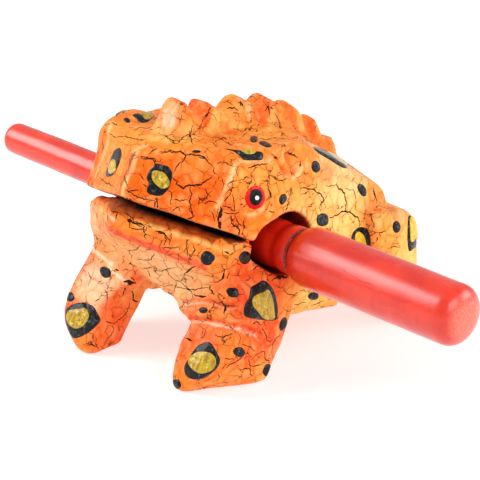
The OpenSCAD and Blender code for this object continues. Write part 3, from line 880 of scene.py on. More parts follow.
def lacquer(name, colour, deep, pale):
    g = Graph(name)
    p = g.mm()
    grain = g.noise(g.vec("MULTIPLY", p, (0.10, 1.0, 1.0)), 0.9, 4.0, 0.6)
    tone = g.noise(p, 0.12, 3.0, 0.55)
    c = g.mix(g.ramp(tone, 0.35, 0.68), deep, colour)
    c = g.mix(g.ramp(grain, 0.50, 0.78, 0.0, 0.16), c, pale)
    patch = g.ramp(g.noise(g.vec("MULTIPLY", p, (0.4, 1.0, 1.0)), 0.55, 3.0, 0.6), 0.56, 0.72, 0.0, 0.35)
    c = g.mix(patch, c, pale)
    pit = g.node("ShaderNodeTexVoronoi", 0, {"Vector": p, "Scale": 0.42, "Randomness": 1.0}, feature="F1")
    pit_on = g.math("MULTIPLY", g.ramp(pit, 0.05, 0.12, 1.0, 0.0), g.ramp(g.noise(p, 0.2, 1.0), 0.54, 0.62))
    c = g.mix(g.math("MULTIPLY", pit_on, 0.6), c, (0.16, 0.012, 0.006))
    # painted shade: the neck, where it sits in the mouth, is made a deeper red
    c = g.mix(g.attr("deep"), c, g.mix(1.0, c, (0.82, 0.36, 0.32), "MULTIPLY"))
    rough = g.noise(p, 1.9, 2.0, 0.6)
    # the end face painted paler: partly wear, partly painted sheen
    c = g.mix(g.math("MULTIPLY", g.attr("worn_and_sheen"), g.ramp(rough, 0.30, 0.62, 0.30, 1.0)), c, (0.98, 0.24, 0.15))
    grime = g.ramp(g.math("MULTIPLY", g.attr("grime"), g.ramp(rough, 0.38, 0.60, 0.10, 1.35)), 0.28, 0.60)
    c = g.mix(grime, c, (0.090, 0.010, 0.006))
    h = g.math("SUBTRACT", g.math("MULTIPLY", grain, 0.5), g.math("ADD", pit_on, g.math("MULTIPLY", grime, 0.6)))
    g.set(Base_Color=c, Roughness=g.ramp(grain, 0.3, 0.7, 0.27, 0.38), Normal=g.bump(h, 0.35, 0.00025))
    g.put(g.bsdf.inputs["Specular IOR Level"], 0.4)
    g.put(g.bsdf.inputs["Coat Weight"], g.ramp(g.attr("grime"), 0.0, 0.35, 0.58, 0.0))
    g.put(g.bsdf.inputs["Coat Roughness"], 0.24)
    return g.mat


PAINT = crackle_paint()
CRACK = crack_dark("crack_dark", (0.010, 0.005, 0.003), (0.050, 0.018, 0.006))
SCRATCH = crack_dark("scratch_dark", (0.14, 0.012, 0.008), (0.30, 0.035, 0.02))
# painted sheen: the black enamel's pale is a bluish grey for its reflections, the ochre's pale paints highlights, the
# pupil's pale paints reflection speckles
BLACK = enamel("black_enamel", (0.004, 0.004, 0.0045), (0.002, 0.002, 0.002), (0.080, 0.094, 0.120), 0.12, 0.24)
OCHRE = enamel("ochre_enamel", tuple(srgb(202, 162, 6)), tuple(srgb(156, 122, 4)), tuple(srgb(246, 222, 96)), 0.3, 0.4)
GOLD = enamel("gold_enamel", tuple(srgb(238, 196, 44)), tuple(srgb(212, 160, 20)), tuple(srgb(252, 226, 120)), 0.2, 0.2)
EYE_RED = enamel("eye_red", tuple(srgb(222, 0, 16)), tuple(srgb(196, 0, 10)), tuple(srgb(236, 14, 26)), 0.14, 0.14)
EYE_DARK = enamel("eye_dark", (0.004, 0.008, 0.006), (0.002, 0.004, 0.003), (0.014, 0.032, 0.024), 0.08, 0.08)
EYE_WHITE = enamel("eye_white", tuple(srgb(246, 246, 244)), tuple(srgb(234, 234, 232)), tuple(srgb(252, 252, 250)))
HANDLE = lacquer("coral_lacquer", tuple(srgb(230, 50, 22)), tuple(srgb(212, 36, 14)), tuple(srgb(240, 76, 42)))
SHAFT = lacquer("coral_lacquer_shaft", tuple(srgb(236, 56, 22)), tuple(srgb(214, 40, 14)), tuple(srgb(242, 84, 44)))
frog.data.materials.append(PAINT)

# ---------------------------------------------------------------- enamel spots


def closed_curve(pts, n):
    """A smooth closed run through pts."""
    pts = np.asarray(pts, float)
    m = len(pts)
    out = []
    for k in range(n):
        t = k * m / n
        i = int(t)
        f = t - i
        p0, p1, p2, p3 = pts[(i - 1) % m], pts[i % m], pts[(i + 1) % m], pts[(i + 2) % m]
        out.append(0.5 * (2 * p1 + (p2 - p0) * f + (2 * p0 - 5 * p1 + 4 * p2 - p3) * f * f + (3 * p1 - p0 - 3 * p2 + p3) * f ** 3))
    return np.array(out)


def drop_on(points, way, reach=14.0, step=0.15):
    """Where each of many lines along way first meets the wood; nan where one misses."""
    t = np.arange(0, reach, step)
    grid = points[:, None, :] + t[None, :, None] * way
    v = sample(F, grid)
    neg = v < 0
    k = np.argmax(neg, 1)
    ok = neg.any(1) & (k > 0)
    r = np.arange(len(points))
    a, b = v[r, np.maximum(k - 1, 0)], v[r, k]
    s = t[np.maximum(k - 1, 0)] + step * a / np.where(np.abs(a - b) < 1e-9, 1, a - b)
    out = points + s[:, None] * way
    out[~ok] = np.nan
    return out


FS = np.array([0.0, 0.22, 0.42, 0.60, 0.74, 0.84, 0.91, 0.96, 0.99, 1.0])


def pad_mesh(q, nn, height, lift, seed, segs, rough):
    """A low cushion of paint over rings of surface points, its rim sunk into the wood."""
    hs = np.concatenate([[height + lift], np.repeat(lift + height * (1 - FS[1:] ** 3.0) ** 0.6, segs)])
    hs = hs + rough * point_noise(q + seed * 3.1, 1.3, 41) * np.concatenate([[1.0], np.repeat(1 - FS[1:] ** 6, segs)])
    v = q + nn * hs[:, None]
    v = np.concatenate([v, q[-segs:] - nn[-segs:] * 0.25])
    faces = []
    for k in range(segs):
        k2 = (k + 1) % segs
        faces.append((0, 1 + k, 1 + k2, 1 + k2))
        for r in range(len(FS) - 1):
            a, b = 1 + r * segs, 1 + (r + 1) * segs
            faces.append((a + k, b + k, b + k2, a + k2))
    return v, faces


def shown_pad(outline, height, lift=0.0, seed=1, segs=40, rough=0.05):
    """A pad inside an outline of the frame, laid on whatever of the frog shows there."""
    edge = closed_curve(outline, segs)
    if 0.5 * np.sum(edge[:, 0] * np.roll(edge[:, 1], -1) - np.roll(edge[:, 0], -1) * edge[:, 1]) > 0:
        edge = edge[::-1]
    mid = edge.mean(0)
    fs = np.linspace(0, 1, 25)
    px = (mid + (edge[:, None] - mid) * fs[None, :, None]).reshape(-1, 2)
    q = seen_many(px)
    if np.isnan(q[0, 0]):
        hit = px[~np.isnan(q[:, 0])]
        mid = hit[np.argmin(np.linalg.norm(hit - hit.mean(0), axis=1))]
        q = seen_many((mid + (edge[:, None] - mid) * fs[None, :, None]).reshape(-1, 2))
    q = q.reshape(segs, 25, 3)
    leap = np.linalg.norm(np.diff(q, axis=1), axis=2)
    bad = ~(leap < max(5 * np.nanmedian(leap), 0.7))
    last = np.where(bad.any(1), np.argmax(bad, 1), 24)
    edge = mid + (edge - mid) * np.maximum(fs[last], 0.15)[:, None]
    px = np.concatenate([mid[None]] + [mid + (edge - mid) * f for f in FS[1:]])
    q = seen_many(px)
    gone = np.isnan(q[:, 0])
    q[gone] = q[0]
    return pad_mesh(q, steep(q, 0.9), height, lift, seed, segs, rough)


class Spot:
    """A patch of thick paint laid on the wood inside an outline given in space."""

    def __init__(self, c, n, outline):
        self.c, self.n = c, n
        t1 = np.cross([0, 0, 1.0], n)
        if np.linalg.norm(t1) < 0.2:
            t1 = np.cross([0, 1.0, 0], n)
        self.t1 = t1 / np.linalg.norm(t1)
        self.t2 = np.cross(n, self.t1)
        o = np.asarray(outline, float) - c
        self.o = np.stack([o @ self.t1, o @ self.t2], 1)
        if 0.5 * np.sum(self.o[:, 0] * np.roll(self.o[:, 1], -1) - np.roll(self.o[:, 0], -1) * self.o[:, 1]) < 0:
            self.o = self.o[::-1]

    def mesh(self, height, lift=0.0, seed=1, segs=40, rough=0.05):
        edge = closed_curve(self.o, segs)
        mid = edge.mean(0)
        uv = np.concatenate([mid[None]] + [mid + (edge - mid) * f for f in FS[1:]])
        world = self.c + uv[:, :1] * self.t1 + uv[:, 1:] * self.t2
        q = drop_on(world + self.n * 7.0, -self.n)
        bad = np.isnan(q[:, 0])
        q[bad] = world[bad]
        nn = steep(q, 0.9) * 0.7 + self.n * 0.3
        nn /= np.linalg.norm(nn, axis=1, keepdims=True)
        return pad_mesh(q, nn, height, lift, seed, segs, rough)


def gather(name, made, material, body="frog"):
    vs, tri, quad, base = [], [], [], 0
    for v, faces in made:
        vs.append(v)
        for f in faces:
            if f[2] == f[3]:
                tri.append((f[0] + base, f[1] + base, f[2] + base))
            else:
                quad.append(tuple(i + base for i in f))
        base += len(v)
    me = bpy.data.meshes.new(name)
    me.from_pydata([tuple(p) for p in to_row(np.concatenate(vs))], [], tri + quad)
    me.polygons.foreach_set("use_smooth", np.ones(len(me.polygons), bool))
    me.update()
    ob = bpy.data.objects.new(name, me)
    bpy.context.scene.collection.objects.link(ob)
    me.materials.append(material)
    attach(ob, body)
    return ob


def shown_outline(pxs):
    """Outline points of the frame laid on the frog; a point that misses is drawn in."""
    pxs = np.asarray(pxs, float)
    mid = pxs.mean(0)
    out = []
    for p in pxs:
        for s in (1.0, 0.9, 0.8, 0.7, 0.6, 0.5):
            q = seen(mid + (p - mid) * s)
            if q is not None:
                out.append(q)
                break
    return np.array(out)


def oval(cx, cy, rx, ry, turn=0.0, seed=0, uneven=0.08):
    rng = np.random.RandomState(seed)
    t = np.linspace(0, 2 * math.pi, 11)[:-1]
    k = 1 + rng.uniform(-uneven, uneven, len(t))
    a = math.radians(turn)
    x, y = rx * k * np.cos(t), ry * k * np.sin(t)
    return np.stack([cx + x * math.cos(a) - y * math.sin(a), cy + x * math.sin(a) + y * math.cos(a)], 1)


# spots with an ochre middle: outline of the black, outline of the ochre
RINGED = [
    ([(155, 163.4), (162, 164.7), (168.4, 166.6), (172.2, 173), (171, 182), (168.4, 189), (162, 195.3), (155, 195.7), (148, 193.4), (146.7, 189.6), (148.6, 183.2), (146.7, 178), (149.3, 170.5), (153.7, 166.6)],
     [(153.1, 171.7), (158.2, 170.7), (164.6, 173), (169, 179.4), (169.4, 185.8), (163.3, 188.6), (157, 185.1), (152.5, 178.7)]),
    ([(120, 147.8), (121.6, 153.9), (120, 161.5), (117.4, 167.9), (114.2, 173.6), (109.7, 176.8), (105.7, 175.8), (106.6, 170.5), (109.1, 164), (111.7, 156.4), (114.8, 150)],
     [(114.8, 159.6), (117, 161.5), (117, 167.9), (114.2, 173), (110.4, 173.6), (109.7, 167.9), (112.3, 161.5)]),
    ([(132.7, 114.6), (141, 113.4), (155, 113.6), (153.5, 117), (149, 121), (146.5, 122.4), (141.6, 122.9), (137.2, 119.7)],
     [(140, 114.2), (154, 114), (152.8, 116.9), (149, 120), (145, 120.6), (142, 117)]),
    ([(225.1, 148.9), (234.4, 149.9), (248.8, 151.3), (260.3, 151.7), (263.1, 153.9), (262.4, 159.6), (254.5, 160.3), (244.5, 159.9), (238.7, 155.3), (233, 151.3)],
     [(240, 150.9), (249.5, 150.4), (255.4, 151.9), (252.4, 154.8), (246.6, 155.0), (243, 153.4)]),
    ([(313.4, 146.7), (322, 149), (336.3, 157), (347, 165), (346.4, 168.2), (340.6, 166.8), (329.2, 159.6), (317.7, 152.5)],
     [(326, 152.6), (336, 156.4), (344.9, 163), (345.8, 166), (337.8, 162)]),
    ([(351.5, 236), (355.4, 229.5), (361.2, 227), (367, 229), (370, 235.7), (370.5, 246), (366, 254), (358, 254), (352, 246)],
     [(353.8, 237), (357, 231.5), (361, 233.5), (365, 237.5), (367, 245), (362, 250), (356, 246)]),
    ([(408.2, 216.5), (413, 216), (417.5, 223), (418.6, 231), (417.5, 243), (413.5, 249), (409, 251), (407.4, 240), (407.6, 228)],
     [(409.2, 217.6), (413.8, 217.6), (417.8, 224), (418.6, 231.5), (417.8, 239), (414.5, 238), (412.4, 241), (409.6, 241), (409, 230)]),
    ([(263.9, 280.4), (272.2, 287.8), (276.4, 299.5), (278, 312.7), (274.7, 320.2), (263.9, 320.2), (252.3, 318.5), (244, 315.2), (244.9, 304.4), (249, 297.8), (250.7, 287.8), (255.6, 284.5)],
     [(253.2, 296.1), (263.9, 291.2), (267.2, 289.5), (271.4, 297.8), (273.1, 309.4), (273.1, 318.5), (263.9, 319), (257.3, 312.7), (251.5, 304.4)]),
    ([(209.8, 342.3), (218.1, 354.7), (220.1, 360.5), (217.2, 368), (206.5, 377.1), (195.7, 379.6), (186.6, 376.3), (184.1, 367.1), (189.9, 356.4), (198.2, 345.6)],
     [(189.9, 358.8), (196.5, 353), (204, 351.8), (212.3, 353.9), (215.6, 360.5), (212.3, 368.8), (202.3, 372.9), (194.9, 370.5), (189.9, 364.6)]),
    ([(74.9, 303.6), (84.8, 302.8), (93.1, 306.1), (97.3, 312.7), (100.6, 320.2), (94.8, 327.6), (85.7, 334.3), (75.7, 338.4), (69.9, 335.9), (66.6, 327.6), (64.3, 317.7), (65.8, 309.4)],
     [(71.6, 310.2), (79, 309.4), (84.8, 308.6), (89, 312.7), (88.1, 321), (83.2, 326.8), (76.5, 328.5), (70.7, 325.2), (67.4, 318.5), (68.2, 312.7)]),
]
PLAIN = [
    (127, 120.3, 3.4, 2.1, 25), (253.8, 139.2, 4.0, 3.6, 0), (265.3, 144.3, 6.8, 2.4, 18), (315.8, 166.5, 4.2, 6.4, -10), (361.9, 189.8, 3.7, 6.9, -25),
    (360.7, 171.8, 3.2, 2.6, 40), (282.8, 199.1, 3.6, 5.7, 20), (322.7, 219.6, 6.2, 6.8, 0), (396.3, 226.8, 4.0, 6.0, 0), (313.4, 296, 5.7, 4.2, -10),
    (207.5, 258, 7.2, 7.1, 0), (244.9, 257.7, 6.2, 6.4, 0), (232.8, 292.5, 6.4, 5.0, 15), (203.4, 310.2, 4.2, 2.9, 0), (239.2, 352, 6.0, 5.0, 10),
    (283.2, 324, 3.5, 7.5, 18), (267.4, 370, 4.4, 6.8, 20), (175.8, 384.5, 5.2, 5.6, -20), (105.6, 272.1, 5.0, 6.4, -35), (69.9, 297, 4.6, 5.0, -20),
    (90, 245.2, 1.8, 3.0, 10), (196.5, 151.6, 4.6, 1.3, 0),
]
black, ochre, gold, side_spots = [], [], [], []
for k, (outer, inner) in enumerate(RINGED):
    black.append(shown_pad(outer, 0.50, 0.0, k))
    (gold if k in (5, 6) else ochre).append(shown_pad(inner, 0.20, 0.54, k + 50, rough=0.08))
    o3, i3 = shown_outline(outer), shown_outline(inner)
    c = seen(np.mean(outer, 0))
    c = o3.mean(0) if c is None else c
    n = steep(o3, 1.5).mean(0) * 0.5 + steep(c, 1.5) * 0.5
    side_spots.append((c, n / np.linalg.norm(n), o3, i3))
for k, (x, y, rx, ry, turn) in enumerate(PLAIN):
    c = seen((x, y))
    if c is None:
        continue
    black.append(shown_pad(oval(x, y, rx, ry, turn, k), 0.45, 0.0, k + 20))
    side_spots.append((c, steep(c, 1.2), shown_outline(oval(x, y, rx, ry, turn, k)), None))


def lay(c, n, outline, inner, seed):
    """The same kind of spot somewhere else on the frog, found along n."""
    way = -n / np.linalg.norm(n)
    hit = first_hit(c - way * 12.0, way, 40.0)
    if hit is None:
        return
    d = hit - CAM
    shows = seen((240 + FOCAL * (d @ _r) / (d @ _w), 240 - FOCAL * (d @ _u) / (d @ _w)))
    if shows is not None and np.linalg.norm(shows - hit) < 5.0:
        return
    n2 = steep(hit, 1.5)
    pad = Spot(hit, n2, outline + (hit - c)).mesh(0.5, 0.0, seed)
    rim = pad[0][-40:]
    if np.linalg.norm(rim - np.roll(rim, 1, 0), axis=1).max() > 2.2:
        return  # it would hang over an edge
    black.append(pad)
    if inner is not None:
        ochre.append(Spot(hit, n2, inner + (hit - c)).mesh(0.20, 0.54, seed + 9, rough=0.08))


# the side that the view does not show carries spots of the same kind
rng = np.random.RandomState(7)
for c, n, o3, i3 in side_spots:
    if n[0] > 0.5 and c[0] > 15:
        shift = np.array([0, rng.uniform(-3, 3), rng.uniform(-2.0, 2.0)])
        lay(c * MIRROR + shift, n * MIRROR, o3 * MIRROR + shift, None if i3 is None else i3 * MIRROR + shift, 70)


def round_spot(c, n, r, inner, seed):
    n = np.asarray(n, float) / np.linalg.norm(n)
    rng = np.random.RandomState(seed)
    t1 = np.cross([0.3, 0.2, 1.0], n)
    t1 /= np.linalg.norm(t1)
    t2 = np.cross(n, t1)
    ring = np.linspace(0, 2 * math.pi, 12)[:-1]
    k = 1 + rng.uniform(-0.16, 0.16, len(ring))
    o = np.array([c + r * k[i] * (math.cos(t) * t1 * 1.15 + math.sin(t) * t2 * 0.9) for i, t in enumerate(ring)])
    i3 = np.array([c + r * 0.55 * k[i] * (math.cos(t) * t1 * 1.1 + math.sin(t) * t2 * 0.9) + t1 * r * 0.12 for i, t in enumerate(ring)]) if inner else None
    lay(np.asarray(c, float), n, o, i3, seed)


for k, (c, n, r, inner) in enumerate([
    ((-14, 54, 36), (-0.3, 1, 0.3), 4.2, True), ((9, 55, 30), (0.2, 1, 0.1), 3.6, True), ((22, 52, 44), (0.5, 0.9, 0.5), 1.8, False),
    ((-4, 56, 24), (0, 1, -0.1), 1.7, False), ((26, 58, 14), (0.2, 1, 0), 2.8, True), ((-27, 58, 18), (-0.2, 1, 0), 1.8, False),
    ((-26, 58, 7), (-0.2, 1, 0), 1.5, False), ((-14, 20, 70), (-0.3, 0.2, 1), 3.8, True), ((14, 32, 62), (0.3, 0.5, 1), 1.8, False),
    ((-15, 38, 58), (-0.3, 0.5, 1), 1.7, False), ((15, 12, 70), (0.2, 0.2, 1), 1.6, False), ((-17, 3, 71), (-0.2, 0, 1), 1.7, False),
    ((-30, 24, 30), (-1, 0, 0), 1.8, False), ((-31, 10, 20), (-1, 0, 0), 1.6, False)]):
    round_spot(np.array(c, float), n, r, inner, 100 + k)

gather("enamel_black", black, BLACK)
gather("enamel_ochre", ochre, OCHRE)
gather("enamel_gold", gold, GOLD)

# ---------------------------------------------------------------- eyes
reds = [shown_pad(oval(255.2, 197.4, 9.8, 12.1, 8, 3, 0.03), 0.55, 0.0, 3, 48, 0.02)]
darks = [shown_pad(oval(254.9, 196.9, 6.4, 8.3, 8, 4, 0.03), 0.35, 0.42, 4, 48, 0.02)]
whites = [shown_pad(oval(255.4, 197.6, 2.1, 2.3, 0, 5, 0.02), 0.14, 0.74, 5, 32, 0.0)]


def far_eye(cx, cy, rx, ry, seed, height, lift):
    o3 = shown_outline(oval(cx, cy, rx, ry, 8, seed, 0.03)) * MIRROR
    c = o3.mean(0)
    n = eye_n * MIRROR
    hit = first_hit(c + n * 12.0, -n, 40.0)
    return Spot(hit, n, o3 + (hit - c)).mesh(height, lift, seed, rough=0.02)


reds.append(far_eye(255.2, 197.4, 9.8, 12.1, 3, 0.55, 0.0))
darks.append(far_eye(254.9, 196.9, 6.4, 8.3, 4, 0.35, 0.42))
whites.append(far_eye(255.4, 197.6, 2.1, 2.3, 5, 0.14, 0.74))
gather("eye_reds", reds, EYE_RED)
gather("eye_pupils", darks, EYE_DARK)
gather("eye_glints", whites, EYE_WHITE)

# ---------------------------------------------------------------- cracks
# runs of the cracks that show, traced in the frame: wide ones, hair ones
WIDE = [
   
    [(173.3, 178.9), (177.2, 181.5), (176.3, 184.1), (179.7, 185.8), (183.6, 187.9), (185.8, 186.2), (190.9, 185.8), (196.1, 184.9), (201.3, 184.5), (203.8, 181.9), (207.3, 180.2), (211.6, 176.8)],
    [(219.8, 206.5), (221.1, 209.9), (219.8, 214.2), (218.5, 217.7), (219.3, 222), (219.3, 226.3), (221.1, 230.6)],
    [(300.1, 188), (303.5, 188), (307.4, 189.1), (313, 189.1), (316.3, 191.9), (320.8, 194.7), (323, 198), (323.6, 200.8), (320.8, 204.7), (319.7, 208.1), (321.3, 211.4)],
    [(336.4, 183.5), (337.5, 186.9), (342, 190.8), (344.8, 193.6), (345.3, 199.1), (346.5, 203.6), (345.9, 209.2), (344.8, 212)],
    [(329.2, 218.1), (333.1, 217), (337.5, 214.8), (340.9, 212), (345.3, 210.9), (350.9, 213.1), (354.3, 215.9), (357.6, 217), (359.8, 221.5), (359.3, 226.5)],
    [(289, 197.5), (288.4, 202.5), (285.6, 210.9)], [(271.7, 281.1), (275, 278.4), (279.5, 276.1), (287.3, 277.2)],
    [(259.8, 138.6), (266.2, 139.8), (271.3, 137.9), (280.2, 138.6), (290.4, 139.2)], [(214.5, 137.3), (221.5, 137.9), (226.6, 138.6), (229.2, 144.3), (234.3, 143.7)],
    [(127.4, 219.6), (132.1, 221.4)], [(185.2, 273.3), (191.8, 267.9), (195.3, 266.1)], [(210.8, 285.8), (210.2, 289.4), (214.4, 294.7)],
    [(224.6, 297.7), (221.6, 302.5), (218, 303.7), (214.4, 301.9)], [(221.6, 302.5), (225.1, 305.5), (224.6, 312)], [(114, 271.1), (116, 269.2), (118.7, 270.3)],
    [(123.4, 281.2), (128, 282.8), (131.1, 282.4), (135.8, 283.6)], [(132.7, 282), (128, 285.9), (124.9, 288.2), (124.1, 291.3), (123.4, 295.2)],
    [(131.5, 291.3), (133.1, 294.5), (132.7, 299.9), (135.8, 301.5), (139.7, 301.9)], [(95.3, 301.5), (99.2, 299.1)],
]
